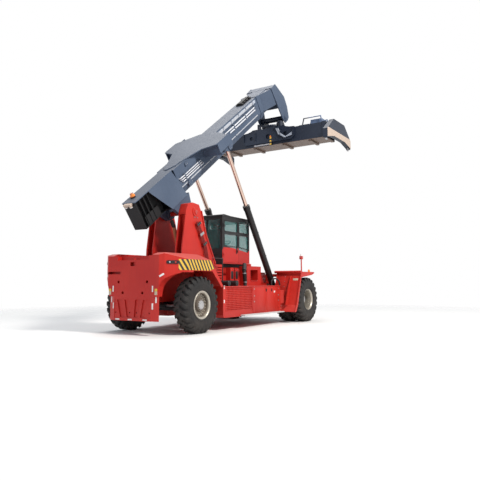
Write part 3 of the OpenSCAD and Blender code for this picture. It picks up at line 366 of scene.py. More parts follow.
CHROME = finish_of(
    "rod_chrome", colour(0.70, 0.52, 0.43), colour(0.62, 0.47, 0.40), colour(0.42, 0.33, 0.29),
    rough=0.17, metal=1.0, grain=45.0, speckle=0.12, bump=0.02)
TUBE = finish_of(
    "tube_chrome", colour(0.62, 0.63, 0.66), colour(0.54, 0.55, 0.59), colour(0.40, 0.39, 0.38),
    rough=0.52, metal=0.2, grain=45.0, speckle=0.12, bump=0.02)
RUBBER = finish_of(
    "tyre_rubber", colour(0.010, 0.010, 0.011), colour(0.018, 0.0175, 0.018), colour(0.040, 0.037, 0.035),
    rough=0.72, grain=22.0, dust=0.10, bump=0.3, bump_scale=150.0, shine=0.3)
RIM_DARK = finish_of(
    "rim_disc", colour(0.11, 0.088, 0.070), colour(0.15, 0.12, 0.095), colour(0.24, 0.19, 0.15),
    rough=0.5, metal=0.2, grain=30.0, speckle=0.5)
RIM = finish_of(
    "rim_paint", colour(0.50, 0.47, 0.41), colour(0.42, 0.38, 0.32), colour(0.20, 0.15, 0.11),
    rough=0.34, metal=0.7, grain=26.0, dust=0.25, speckle=0.5)
GLASS = finish_of(
    "green_glass", colour(0.04, 0.17, 0.16), colour(0.05, 0.21, 0.20), colour(0.08, 0.24, 0.22),
    rough=0.06, grain=9.0, speckle=0.2, bump=0.01, alpha=0.38, shine=0.8)
SEAT = finish_of(
    "seat_black", colour(0.02, 0.02, 0.022), colour(0.035, 0.034, 0.034), colour(0.06, 0.06, 0.06),
    rough=0.82, bump=0.6, bump_scale=420.0)
PALE = finish_of(
    "pale_cover", colour(0.34, 0.36, 0.40), colour(0.42, 0.43, 0.46), colour(0.20, 0.19, 0.19),
    rough=0.4, streak=0.2)
LAMP_RED = finish_of(
    "lamp_red", colour(0.40, 0.012, 0.010), colour(0.50, 0.03, 0.02), colour(0.28, 0.015, 0.015),
    rough=0.18, coat=0.6)
EXHAUST = finish_of(
    "exhaust_steel", colour(0.30, 0.11, 0.045), colour(0.42, 0.19, 0.09), colour(0.10, 0.055, 0.04),
    rough=0.62, metal=0.3, grain=20.0, speckle=0.7, streak=0.4, zones=[(PAINT_BLACK, EXHAUST_TIP)])
ORANGE = finish_of(
    "beacon_orange", colour(0.90, 0.20, 0.015), colour(0.95, 0.28, 0.03), colour(0.6, 0.15, 0.02),
    rough=0.16, coat=0.5, bump=0.02)
YELLOW = finish_of(
    "stripe_yellow", colour(0.62, 0.37, 0.035), colour(0.72, 0.46, 0.06), colour(0.36, 0.22, 0.04),
    rough=0.5)
STRIPE_BLACK = finish_of(
    "stripe_black", colour(0.012, 0.012, 0.013), colour(0.02, 0.02, 0.02), colour(0.05, 0.04, 0.03),
    rough=0.5)
WHITE = finish_of(
    "reflector_white", colour(0.66, 0.64, 0.63), colour(0.75, 0.73, 0.72), colour(0.40, 0.36, 0.34),
    rough=0.3, dust=0.2)
LABEL = finish_of(
    "label_blank", colour(0.46, 0.36, 0.24), colour(0.55, 0.47, 0.36), colour(0.30, 0.24, 0.18), rough=0.5)

# A node takes the look of the first of these that its name starts with, or else red paint
NODE_LOOKS = (
    ("steps_and_pipes", PIPES), ("deck", DECK), ("exhaust", EXHAUST), ("lamps", LAMP_RED),
    ("front_axle", BLACK), ("rear_axle", BLACK), ("engine_block", BLACK), ("knuckle", BLACK),
    ("steer_rod", STEEL), ("rear_tyre", RUBBER), ("front_tyres", RUBBER), ("rear_rim", RIM),
    ("front_rims", RIM),
    ("cab_shell", CAB), ("cab_door", DOOR), ("cab_glass", GLASS), ("door_glass", GLASS), ("cab_seat", SEAT),
    ("outer_boom", BOOM_TAIL), ("inner_boom", BOOM), ("boom_saddle", BOOM), ("boom_head", BOOM),
    ("boom_fittings", FITTINGS), ("lift_barrels", BLACK), ("lift_rods", CHROME), ("rotator", ROTATOR),
    ("spreader_yoke", NAVY), ("spreader_frame", SPREADER), ("end_beam", END_BEAM), ("twistlock", STEEL),
)
for node_name, node_object in frame["nodes"].items():
    node_look = next((look for start, look in NODE_LOOKS if node_name.startswith(start)), RED)
    node_object.data.materials.clear()
    node_object.data.materials.append(node_look)


# Mesh helpers

SMOOTH_ANGLE = 32.0
MERGE = 1e-5
PLATE_EDGE = 0.0012
CURVE_STEPS = 7


def make_piece(name, bm, body, looks, sharp=SMOOTH_ANGLE):
    """Turns a bmesh into a named piece that rides on a body."""
    mesh = bpy.data.meshes.new(name)
    bmesh.ops.recalc_face_normals(bm, faces=bm.faces)
    bm.to_mesh(mesh)
    bm.free()
    mesh.shade_smooth()
    mesh.set_sharp_from_angle(angle=math.radians(sharp))
    for look in looks:
        mesh.materials.append(look)
    piece = bpy.data.objects.new(name, mesh)
    bpy.context.scene.collection.objects.link(piece)
    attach(piece, body)
    return piece


def frame_of(centre, axis, upward=UPWARD):
    """A matrix at a point whose Z runs along an axis."""
    z = Vector(axis).normalized()
    side = upward if abs(z.dot(upward)) < 0.95 else FORWARD
    x = side.cross(z).normalized()
    y = z.cross(x)
    rotation = Matrix((x, y, z)).transposed().to_4x4()
    return Matrix.Translation(centre) @ rotation


def circle(count, turn=0.0):
    """The cosine and sine of evenly spaced turns round a circle."""
    angles = [math.tau * (k + turn) / count for k in range(count)]
    return [(math.cos(a), math.sin(a)) for a in angles]


def rounded_loop(middle, along, reach, rise, corner, count):
    """Points round an upright oblong with round corners, which its reach along and its rise leave out."""
    points = []
    for c, s in circle(count):
        sideways = along * (math.copysign(reach, c) + corner * c)
        points.append(middle + sideways + UPWARD * (math.copysign(rise, s) + corner * s))
    return points


def join(bm, part, matrix, look=0):
    """Adds a finished part to a bmesh at a matrix, and frees the part."""
    bmesh.ops.remove_doubles(part, verts=part.verts[:], dist=MERGE)
    bmesh.ops.transform(part, matrix=matrix, verts=part.verts[:])
    if look is not None:
        for face in part.faces:
            face.material_index = look
    mesh = bpy.data.meshes.new("part")
    part.to_mesh(mesh)
    part.free()
    bm.from_mesh(mesh)
    bpy.data.meshes.remove(mesh)


def add_lathe(bm, matrix, profile, steps, look=0):
    """Spins rows of radius and height round the matrix's Z."""
    part = bmesh.new()
    verts = [part.verts.new((r, 0, h)) for r, h in profile]
    edges = [part.edges.new(pair) for pair in zip(verts, verts[1:])]
    bmesh.ops.spin(part, geom=verts + edges, cent=(0, 0, 0), axis=(0, 0, 1), dvec=(0, 0, 0), angle=math.tau,
                   steps=steps, use_merge=True)
    join(bm, part, matrix, look)


def add_box(bm, matrix, size, edge, look=0):
    """A block with bevelled edges, centred on the matrix."""
    part = bmesh.new()
    bmesh.ops.create_cube(part, size=1.0)
    bmesh.ops.scale(part, vec=Vector(size), verts=part.verts[:])
    bmesh.ops.bevel(part, geom=part.edges[:], offset=min(edge, min(size) * 0.4), offset_type="OFFSET",
                    segments=2, profile=0.5, affect="EDGES", clamp_overlap=True, material=-1)
    join(bm, part, matrix, look)


def add_block(bm, corner, opposite, edge, look=0):
    """A bevelled block between two opposite corners in the row frame."""
    corner, opposite = Vector(corner), Vector(opposite)
    size = Vector(abs(part) for part in opposite - corner)
    add_box(bm, Matrix.Translation((corner + opposite) / 2), size, edge, look)


def add_plate(bm, place, normal, size, thickness=0.003, look=0, upward=UPWARD):
    """A thin bevelled plate on a surface: its width runs level and its height along upward."""
    matrix = frame_of(Vector(place), normal, upward) @ Matrix.Translation((0, 0, thickness / 2))
    add_box(bm, matrix, (size[0], size[1], thickness), PLATE_EDGE, look)


def add_bolt(bm, matrix, r, look=0):
    """A washer, a hexagonal head and the end of a stud."""
    part = bmesh.new()
    washer = (r * 1.35, 0.0, r * 0.25, 14)
    head = (r, r * 0.25, r * 0.95, 6)
    stud = (r * 0.5, r * 0.95, r * 1.3, 8)
    for radius, low, high, count in (washer, head, stud):
        made = bmesh.ops.create_cone(part, cap_ends=True, cap_tris=False, segments=count, radius1=radius,
                                     radius2=radius * 0.94, depth=high - low)
        bmesh.ops.translate(part, vec=(0, 0, (low + high) / 2), verts=made["verts"])
    join(bm, part, matrix, look)


def bolt_ring(bm, matrix, radius, height, count, r, look=0, turn=0.0):
    """Bolts round the matrix's Z."""
    for c, s in circle(count, turn):
        add_bolt(bm, matrix @ Matrix.Translation((radius * c, radius * s, height)), r, look)


def smooth_path(points):
    """Points of a rounded curve through the given ones; two points stay a straight line."""
    if len(points) < 3:
        return points
    ends = [2 * points[0] - points[1]] + points + [2 * points[-1] - points[-2]]
    path = []
    for p0, p1, p2, p3 in zip(ends, ends[1:], ends[2:], ends[3:]):
        for k in range(CURVE_STEPS):
            t = k / CURVE_STEPS
            path.append(0.5 * ((2 * p1) + (p2 - p0) * t + (2 * p0 - 5 * p1 + 4 * p2 - p3) * t ** 2
                               + (3 * p1 - p0 - 3 * p2 + p3) * t ** 3))
    return path + [points[-1]]


def add_tube(bm, points, r, sides, look=0, loop=False):
    """A round tube along points joined by a smooth curve, or round a closed loop of straight stretches."""
    path = [Vector(p) for p in points]
    if not loop:
        path = smooth_path(path)
    part = bmesh.new()
    rings = []
    normal = None
    last = len(path) - 1
    for i, point in enumerate(path):
        ahead = path[(i + 1) % len(path) if loop else min(i + 1, last)]
        behind = path[(i - 1) % len(path) if loop else max(i - 1, 0)]
        run = (ahead - behind).normalized()
        if normal is None:
            start = UPWARD if abs(run.z) < 0.9 else FORWARD
            normal = start.cross(run).normalized()
        normal = (normal - run * normal.dot(run)).normalized()
        side = run.cross(normal)
        rings.append([part.verts.new(point + (normal * c + side * s) * r) for c, s in circle(sides)])
    for a, b in zip(rings, rings[1:] + (rings[:1] if loop else [])):
        for k in range(sides):
            part.faces.new((a[k], a[(k + 1) % sides], b[(k + 1) % sides], b[k]))
    if not loop:
        part.faces.new(rings[0])
        part.faces.new(rings[-1])
    join(bm, part, Matrix.Identity(4), look)


# Wheels

LUGS = 24
LUG_SHARE = 0.8
WHEEL_STEPS = 72
TYRE_ANGLE = 40


def lug_rows(half):
    """Rows across a lug: distance from the middle plane, top and root radius, turn and half width."""
    return ((-0.02, TYRE_R, TYRE_R - 0.05, 0.0, 0.40), (half * 0.45, TYRE_R, TYRE_R - 0.05, 0.25, 0.36),
            (half - 0.062, TYRE_R - 0.001, TYRE_R - 0.06, 0.55, 0.33),
            (half - 0.028, TYRE_R - 0.025, TYRE_R - 0.085, 0.64, 0.31),
            (half - 0.004, TYRE_R - 0.085, TYRE_R - 0.125, 0.72, 0.28),
            (half - 0.006, TYRE_R - 0.150, TYRE_R - 0.160, 0.78, 0.20))


def add_lugs(bm, matrix, side, half):
    """Slanted lugs from the middle of the tread over one shoulder and down the sidewall."""
    part = bmesh.new()
    pitch = math.tau / LUGS
    stagger = 0.5 if side > 0 else 0.0
    for i in range(LUGS):
        rings = []
        for y, top, root, turn, width in lug_rows(half):
            middle = (i + turn + stagger) * pitch
            rim = top - 0.008
            section = ((root, 1.15), (rim, 1.0), (top, 0.82), (top, -0.82), (rim, -1.0), (root, -1.15))
            ring = []
            for r, share in section:
                a = middle + share * width * pitch * LUG_SHARE
                ring.append(part.verts.new((r * math.cos(a), r * math.sin(a), side * y)))
            rings.append(ring)
        for a, b in zip(rings, rings[1:]):
            for k in range(len(a) - 1):
                part.faces.new((a[k], a[k + 1], b[k + 1], b[k]))
        part.faces.new(rings[0])
        part.faces.new(rings[-1])
    join(bm, part, matrix)


# Tyre: bead and sidewall by reach from the rim and inset, shoulder by depth from the tread and inset
BEAD = ((-0.0005, 0.060), (0.018, 0.030), (0.040, 0.022), (0.060, 0.012), (0.070, 0.004), (0.084, 0.003),
        (0.092, 0.009), (0.150, 0.003), (0.200, 0.001), (0.208, 0.0), (0.224, 0.0), (0.232, 0.002))
SHOULDER = ((0.150, 0.010), (0.100, 0.022), (0.070, 0.045), (0.052, 0.085), (0.047, 0.15))


def add_tyre(bm, matrix):
    """A tyre with its bead, ribbed sidewalls, tread base and lugs; the matrix's Z is the axle."""
    half = TYRE_W / 2
    outer = [(RIM_R + out, half - inset) for out, inset in BEAD]
    outer += [(TYRE_R - depth, half - inset) for depth, inset in SHOULDER]
    inner = [(r, -h) for r, h in reversed(outer)]
    add_lathe(bm, matrix, outer + inner, steps=WHEEL_STEPS)
    for side in (-1, 1):
        add_lugs(bm, matrix, side, half)


def wheel_matrix(x, y, side):
    """At a wheel's middle, with Z pointing out of the machine."""
    return frame_of(Vector((x, y, TYRE_R)), (0, side, 0))


# Rear rim: profiles by radius and height, and rings of bolts by radius, height, count, size, look and turn
REAR_HUB = ((0.0, 0.205), (0.060, 0.2035), (0.105, 0.196), (0.122, 0.188), (0.126, 0.176))
REAR_DISC = ((0.126, 0.176), (0.150, 0.172), (0.158, 0.160), (0.176, 0.154), (0.190, 0.120), (0.198, 0.100),
             (0.215, 0.092), (0.300, 0.088), (0.318, 0.094), (0.330, 0.112), (0.339, 0.150))
REAR_RINGS = ((0.290, 0.089, 20, 0.026, 0, 0.0), (0.232, 0.091, 20, 0.015, 0, 0.5),
              (0.141, 0.173, 12, 0.010, 1, 0.5), (0.083, 0.2, 10, 0.008, 1, 0.0))


def rear_lip(half):
    """Bright lip of the rear rim, its barrel and the back of its disc."""
    return ((0.339, 0.150), (0.343, half - 0.055), (0.352, half - 0.038), (0.366, half - 0.030),
            (0.372, half - 0.034), (0.380, half - 0.026), (0.398, half - 0.020), (0.408, half - 0.024),
            (0.410, half - 0.036), (RIM_R + 0.010, half - 0.046), (RIM_R - 0.0008, half - 0.062),
            (RIM_R - 0.0008, -half + 0.062), (RIM_R + 0.020, -half + 0.028), (RIM_R + 0.020, -half + 0.020),
            (0.362, -half + 0.022), (0.342, -half + 0.07), (0.340, 0.028), (0.0961, 0.030))


def rear_wheel(side, name):
    """A steered wheel: its tyre, and a rim with silver hub, dark disc, bright lip and rings of bolts."""
    body = "rear_wheel_" + name
    matrix = wheel_matrix(REAR_AXLE, side * REAR_TRACK, side)
    bm = bmesh.new()
    add_tyre(bm, matrix)
    tyre = make_piece("tyre_rear_" + name, bm, body, [RUBBER], TYRE_ANGLE)
    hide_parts("rear_tyre_" + name)
    bm = bmesh.new()
    for profile, look in ((REAR_HUB, 1), (REAR_DISC, 2), (rear_lip(TYRE_W / 2), 0)):
        add_lathe(bm, matrix, profile, steps=WHEEL_STEPS, look=look)
    for ring in REAR_RINGS:
        bolt_ring(bm, matrix, *ring)
    rim = make_piece("rim_rear_" + name, bm, body, [RIM, STEEL, RIM_DARK])
    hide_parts("rear_rim_" + name)


# Front rims: the shared disc, its ring of nuts, and how far the lip lies inside the tyre's face
TWIN_DISC = ((0.1815, 0.030), (0.240, 0.031), (0.268, 0.036), (0.282, 0.031), (0.318, 0.033), (0.332, 0.050),
             (0.338, 0.090))
TWIN_NUTS = (0.301, 0.033, 20, 0.0175)
LIP_INSET = 0.020


def twin_barrel(lip):
    """Barrel of both front rims from lip to lip, with its middle at nought."""
    return ((0.338, 0.090), (0.340, lip - 0.075), (0.348, lip - 0.045), (0.362, lip - 0.030),
            (0.368, lip - 0.034), (0.374, lip - 0.022), (0.3848, lip - 0.016), (0.3844, lip - 0.042),
            (0.3844, -lip + 0.042), (0.3848, -lip + 0.016), (0.360, -lip + 0.03), (0.340, -lip + 0.07),
            (0.339, -0.030), (0.1815, -0.030))


def front_wheel(side, name):
    """A twin drive wheel: two tyres on rims that share one disc."""
    body = "front_wheels_" + name
    bm = bmesh.new()
    for y in (TWIN_OUTER, TWIN_INNER):
        add_tyre(bm, wheel_matrix(FRONT_AXLE, side * y, side))
    tyres = make_piece("tyres_front_" + name, bm, body, [RUBBER], TYRE_ANGLE)
    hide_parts("front_tyres_" + name)
    matrix = wheel_matrix(FRONT_AXLE, side * TWIN_MIDDLE, side)
    barrel = twin_barrel(TWIN_OUTER + TYRE_W / 2 - TWIN_MIDDLE - LIP_INSET)
    bm = bmesh.new()
    for profile, look in ((TWIN_DISC, 1), (barrel, 0)):
        add_lathe(bm, matrix, profile, steps=WHEEL_STEPS, look=look)
    bolt_ring(bm, matrix, *TWIN_NUTS)
    rims = make_piece("rims_front_" + name, bm, body, [RIM, RIM_DARK])
    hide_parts("front_rims_" + name)


# Planet hub's cover, out from the twin wheel's middle
HUB_END = 0.3
HUB_COVER = ((0.0, 0.020), (0.055, 0.019), (0.064, 0.013), (0.110, 0.012), (0.128, 0.010), (0.139, 0.004),
             (0.1405, -0.010), (0.1405, -0.08))
HUB_RINGS = ((0.118, 0.011, 16, 0.009), (0.161, -0.1, 16, 0.011))


def hub_cover(side, name):
    """The planet hub's cover on the drive axle, inside the rim."""
    bm = bmesh.new()
    end = wheel_matrix(FRONT_AXLE, side * TWIN_MIDDLE, side) @ Matrix.Translation((0, 0, HUB_END))
    add_lathe(bm, end, HUB_COVER, steps=48)
    for ring in HUB_RINGS:
        bolt_ring(bm, end, *ring)
    make_piece("hub_cover_" + name, bm, "chassis", [STEEL])


for wheel_side, wheel_name in SIDES:
    rear_wheel(wheel_side, wheel_name)
    front_wheel(wheel_side, wheel_name)
    hub_cover(wheel_side, wheel_name)


# Counterweight

REAR_FACE = -1.29
STRIPE_STEP = 0.062
STRIPE_LEAN = Vector((1.0, 0.62)).normalized()
STRIPE_THICKNESS, STRIPE_STAND_OFF = 0.002, 0.0025
FIRST_STRIPE, LAST_STRIPE = -40, 59
CORNER_X, SHOULDER_X = -0.88, -0.64
BAND_LOW, BAND_HIGH = 1.815, 2.122


def striped_sheet(bm, start, run, outline, shift):
    """Slanted stripes on an upright sheet, outlined along its run from the start and by height."""
    run = run.normalized()
    out = run.cross(UPWARD)
    stand_off = STRIPE_STAND_OFF if out.y * start.y > 0 else -STRIPE_STAND_OFF
    slant = run * STRIPE_LEAN.x + UPWARD * STRIPE_LEAN.y
    part = bmesh.new()
    face = part.faces.new([part.verts.new(start + run * a + UPWARD * h) for a, h in outline])
    face.normal_update()
    for k in range(FIRST_STRIPE, LAST_STRIPE + 1):
        geom = part.verts[:] + part.edges[:] + part.faces[:]
        place = start + slant * (STRIPE_STEP * k - shift)
        bmesh.ops.bisect_plane(part, geom=geom, plane_co=place, plane_no=slant)
    for face in part.faces:
        reach = (face.calc_center_median() - start).dot(slant) + shift
        face.material_index = int(reach // STRIPE_STEP) % 2
    bmesh.ops.translate(part, vec=out * stand_off, verts=part.verts[:])
    bmesh.ops.solidify(part, geom=part.faces[:], thickness=STRIPE_THICKNESS)
    join(bm, part, Matrix.Identity(4), None)


def hazard_stripes(side, name):
    """The striped band round the counterweight's rear corner and along the fender's side."""
    bm = bmesh.new()
    corner, shoulder = machine(CORNER_X, side * 1.345, 0), machine(SHOULDER_X, side * BOX_Y, 0)
    turned = (shoulder - corner).length
    across = [(0.004, BAND_LOW), (turned, BAND_LOW), (turned, BAND_HIGH), (0.004, BAND_HIGH)]
    striped_sheet(bm, corner, shoulder - corner, across, 0.0)
    along = [(x - SHOULDER_X, z) for x, z in (
        (SHOULDER_X, BAND_LOW), (SHOULDER_X, BAND_HIGH), (0.466, BAND_HIGH), (0.612, 1.938), (0.66, 1.88),
        (0.53, 1.85), (0.425, BAND_LOW))]
    striped_sheet(bm, shoulder, FORWARD, along, turned * STRIPE_LEAN.x)
    make_piece("hazard_stripes_" + name, bm, "chassis", [YELLOW, STRIPE_BLACK])


# Strips and labels on the left, from the rear axle: place, direction, size and look
FLANK = (-0.957, 0.291, 0)
SIDE_PLATES = (
    ((REAR_FACE, 0.76, 1.295), (-1, 0, 0), (0.045, 0.17), 0),
    ((-1.2435, 0.853, 0.99), FLANK, (0.045, 0.17), 0),
    ((-1.2745, 0.751, 0.81), FLANK, (0.045, 0.17), 0),
    ((1.184, BOX_Y, 1.316), (0, 1, 0), (0.05, 0.10), 0),
    ((1.184, BOX_Y, 0.88), (0, 1, 0), (0.05, 0.10), 0),
    ((REAR_FACE, 0.885, 1.175), (-1, 0, 0), (0.095, 0.10), 1),
    ((REAR_FACE, 0.885, 1.262), (-1, 0, 0), (0.095, 0.07), 2),
)
LOWER_STRIPS_Y, LOWER_STRIPS_Z, LOWER_STRIP = (0.56, 0.075, -0.49), 0.43, (0.16, 0.036)
# Strip across the counterweight's shoulder, and label from the front axle on the front fender: place,
# direction, rise and size
SHOULDER_STRIP = ((-1.245, 1.045, 1.675), (-0.822, 0.569, 0), (-0.3414, -0.4932, 1), (0.15, 0.05))
FENDER_LABEL = ((-0.682, 1.90, 1.566), (-0.947, 0, 0.321), (0.321, 0, 0.947), (0.20, 0.08))


def mirrored(left, side):
    """A point or direction given for the left side, on either side."""
    return Vector((left[0], side * left[1], left[2]))


def reflectors():
    """White strips on the counterweight and the side boxes, and blank labels on it and the front fenders."""
    bm = bmesh.new()
    for y in LOWER_STRIPS_Y:
        add_plate(bm, machine(REAR_FACE, y, LOWER_STRIPS_Z), BACKWARD, LOWER_STRIP)
    for side in (-1, 1):
        for place, out, size, look in SIDE_PLATES:
            add_plate(bm, machine(*mirrored(place, side)), mirrored(out, side), size, look=look)
        place, out, rise, size = SHOULDER_STRIP
        spot, slope = machine(*mirrored(place, side)), mirrored(rise, side)
        add_plate(bm, spot, mirrored(out, side), size, upward=slope)
        place, out, rise, size = FENDER_LABEL
        add_plate(bm, mirrored(place, side) + FORWARD * FRONT_AXLE, out, size, look=1, upward=Vector(rise))
    make_piece("reflectors", bm, "chassis", [WHITE, LABEL, YELLOW])


# Tail lamp on the left, from the rear axle, with its run along the corner and its way out of it
TAIL_LAMP = (-1.02, 1.242, 2.035)
TAIL_LAMP_RUN, TAIL_LAMP_OUT = (0.806, 0.592, 0), (-0.592, 0.806, 0)
TAIL_LENS = ((0.0, 0.008), (0.012, 0.0075), (0.022, 0.005), (0.026, 0.001))
TAIL_COLLAR = ((0.026, 0.001), (0.029, 0.006), (0.034, 0.005), (0.037, -0.012))
TAIL_PLATE_SIZE = (0.335, 0.082, 0.003)


def tail_lamp(side, name):
    """Bezel and two domed lenses of a tail lamp, sunk in the counterweight's corner."""
    along, out = mirrored(TAIL_LAMP_RUN, side), mirrored(TAIL_LAMP_OUT, side)
    middle = machine(*mirrored(TAIL_LAMP, side))
    bm = bmesh.new()
    add_tube(bm, rounded_loop(middle + out * 0.014, along, 0.130, 0.0, 0.042, 28), 0.006, 6, loop=True)
    add_box(bm, frame_of(middle + out * 0.0133, out), TAIL_PLATE_SIZE, 0.001)
    for reach, look in ((-0.085, 1), (0.085, 2)):
        spot = frame_of(middle + along * reach + out * 0.0252, out)
        add_lathe(bm, spot, TAIL_LENS, steps=28, look=look)
        add_lathe(bm, spot, TAIL_COLLAR, steps=28)
    make_piece("tail_lamp_" + name, bm, "chassis", [BLACK, PALE, LAMP_RED])


# Side boxes and running boards

BOX_REAR, BOX_FRONT, BOX_HIGH = 1.125, 4.86, 1.345
GRILLE_REAR, GRILLE_FRONT, GRILLE_LOW, GRILLE_HIGH = 1.285, 2.84, 0.60, 1.30
GRILLE_BARS = 19
GRILLE_RIM = 0.03
BOARD_REAR = 2.10


def side_block(bm, side, along, out, height, edge, look=0):
    """A block on a side box: its reach from the rear axle, out of the box's side, and in height."""
    corner, opposite = (machine(x, side * (BOX_Y + y), z) for x, y, z in zip(along, out, height))
    add_block(bm, corner, opposite, edge, look)


def box_grille(bm, side):
    """Upright bars over the louvres, and the rim round them."""
    height = (GRILLE_LOW, GRILLE_HIGH)
    for k in range(1, GRILLE_BARS + 1):
        x = GRILLE_REAR + (GRILLE_FRONT - GRILLE_REAR) * k / (GRILLE_BARS + 1)
        side_block(bm, side, (x - 0.005, x + 0.005), (-0.014, -0.001), height, 0.0015)
    length = (GRILLE_REAR - GRILLE_RIM, GRILLE_FRONT + GRILLE_RIM)
    sill = (length, (GRILLE_LOW - GRILLE_RIM, GRILLE_LOW))
    lintel = (length, (GRILLE_HIGH, GRILLE_HIGH + GRILLE_RIM / 2))
    rear_post = ((GRILLE_REAR - GRILLE_RIM, GRILLE_REAR), height)
    front_post = ((GRILLE_FRONT, GRILLE_FRONT + GRILLE_RIM), height)
    for along, reach in (sill, lintel, rear_post, front_post):
        side_block(bm, side, along, (-0.002, 0.004), reach, 0.0015)


# Doors of a side box from the rear axle, each from rear to front, and what is screwed to them
DOORS, DOOR_HEIGHT, DOOR_MARGIN = ((3.05, 3.84), (3.87, 4.64)), (0.46, 1.29), (0.05, 0.06)
HINGES_X, HINGES_Z, HINGE_HALF, HINGE_OUT = (2.995, 4.705), (1.24, 1.01, 0.82), (0.022, 0.018), 0.012
LOCKS_X, LOCK_HEIGHT = (3.80, 4.19), (1.14, 1.25)
LOCK_HANDLE = ((0.014, 1.16), (0.030, 1.17), (0.030, 1.22), (0.014, 1.235))
BOX_PLATE_X, BOX_PLATE_Z = (4.36, 4.46), (1.10, 1.165)
TOP_BOLTS, TOP_BOLT_STEP = 9, 0.445


def box_doors(bm, side):
    """Two doors, each a rim with a raised panel, and their hinges, locks and handles."""
    low, high = DOOR_HEIGHT
    for rear, front in DOORS:
        side_block(bm, side, (rear, front), (-0.002, 0.003), DOOR_HEIGHT, 0.0015)
        panel = (rear + DOOR_MARGIN[0], front - DOOR_MARGIN[0])
        side_block(bm, side, panel, (0.0, 0.0045), (low + DOOR_MARGIN[1], high - DOOR_MARGIN[1]), 0.0015)
    half_x, half_z = HINGE_HALF
    for x in HINGES_X:
        for z in HINGES_Z:
            reach, height = (x - half_x, x + half_x), (z - half_z, z + half_z)
            side_block(bm, side, reach, (0.0, HINGE_OUT), height, 0.003, 1)
            for dx in (-0.010, 0.010):
                spot = machine(x + dx, side * (BOX_Y + HINGE_OUT), z)
                add_bolt(bm, frame_of(spot, (0, side, 0)), 0.005, 1)
    for x in LOCKS_X:
        side_block(bm, side, (x - 0.018, x + 0.018), (0.0, 0.016), LOCK_HEIGHT, 0.004, 2)
        add_tube(bm, [machine(x, side * (BOX_Y + out), z) for out, z in LOCK_HANDLE], 0.006, 8, look=2)


def box_details(side, name):
    """Grille bars, the outlines of the doors, hinges, locks, a blank plate and bolts on a side box."""
    bm = bmesh.new()
    box_grille(bm, side)
    box_doors(bm, side)
    side_block(bm, side, BOX_PLATE_X, (0.0, 0.006), BOX_PLATE_Z, 0.001, 3)
    for k in range(TOP_BOLTS):
        spot = machine(BOX_REAR + 0.08 + k * TOP_BOLT_STEP, side * (BOX_Y + 0.0122), BOX_HIGH - 0.013)
        add_bolt(bm, frame_of(spot, (0, side, 0)), 0.006, 1)
    make_piece("box_details_" + name, bm, "chassis", [RED, STEEL, BLACK, WHITE])


# Running boards: rolled edges, and rows of studs that stand between each other
BOARD_EDGES_Y, BOARD_EDGE_Z = (1.524, 1.683), 0.4255
STUD_ROWS_Y, STUD_Z = (1.555, 1.603, 1.651), 0.4245
STUDS, STUD_STEP = 44, 0.0593
STUD = ((0.014, 0.0), (0.012, 0.004), (0.006, 0.0045), (0.005, 0.002))


def running_boards():
    """Rolled edges and rows of grip studs on the running boards."""
    bm = bmesh.new()
    length = BOX_FRONT - 0.06 - BOARD_REAR
    for side in (-1, 1):
        for y in BOARD_EDGES_Y:
            path = [machine(BOARD_REAR + 0.01 + length * k / 8, side * y, BOARD_EDGE_Z) for k in range(9)]
            path[-1].x -= 0.02
            add_tube(bm, path, 0.006, 6)
        for k in range(STUDS):
            for row, y in enumerate(STUD_ROWS_Y):
                x = BOARD_REAR + 0.05 + (k + 0.5 * (row % 2)) * STUD_STEP
                add_lathe(bm, Matrix.Translation(machine(x, side * y, STUD_Z)), STUD, steps=7)
    make_piece("running_board_grips", bm, "chassis", [GREY])


# Deck: its upright air pipe on the right
AIR_PIPE_X, AIR_PIPE_Y, AIR_PIPE_BACK, AIR_PIPE_RISE = 3.06, -1.1, 0.06, 0.38
FOLDS, FOLD_LOW, FOLD_STEP = 9, 1.50, 0.030
FOLD = ((0.061, -0.014), (0.074, -0.006), (0.074, 0.006), (0.061, 0.014))
HOSE_BAND = ((0.062, -0.011), (0.068, -0.010), (0.068, 0.010), (0.062, 0.011))


def add_bellows(bm):
    """Folds of the upright air pipe, which leans back a little, and its two hose bands."""
    for k in range(FOLDS):
        z = FOLD_LOW + k * FOLD_STEP
        x = AIR_PIPE_X - AIR_PIPE_BACK * max(0.0, (z - FOLD_LOW) / AIR_PIPE_RISE)
        add_lathe(bm, Matrix.Translation(machine(x, AIR_PIPE_Y, z)), FOLD, steps=24)
    for x, z in ((AIR_PIPE_X, 1.475), (3.012, 1.775)):
        add_lathe(bm, Matrix.Translation(machine(x, AIR_PIPE_Y, z)), HOSE_BAND, steps=24, look=1)


# Deck: its lying canisters
CANISTERS_X, CANISTER_Z, CANISTER_END_Y, CANISTER_BANDS_Y = (1.65, 2.12), 1.4353, 1.3802, (1.13, 1.31)
CANISTER_BAND = ((0.0895, -0.016), (0.094, -0.015), (0.094, 0.015), (0.0895, 0.016))
CANISTER_CAP = ((0.0, 0.014), (0.03, 0.013), (0.036, 0.004), (0.078, 0.003), (0.084, -0.002))


def add_canister_bands(bm):
    """Two bands and an end cap on each of the four lying canisters."""
    for x in CANISTERS_X:
        for side in (-1, 1):
            for y in CANISTER_BANDS_Y:
                add_lathe(bm, frame_of(machine(x, side * y, CANISTER_Z), LEFTWARD), CANISTER_BAND, steps=28)
            end = frame_of(machine(x, side * CANISTER_END_Y, CANISTER_Z), (0, side, 0))
            add_lathe(bm, end, CANISTER_CAP, steps=28)


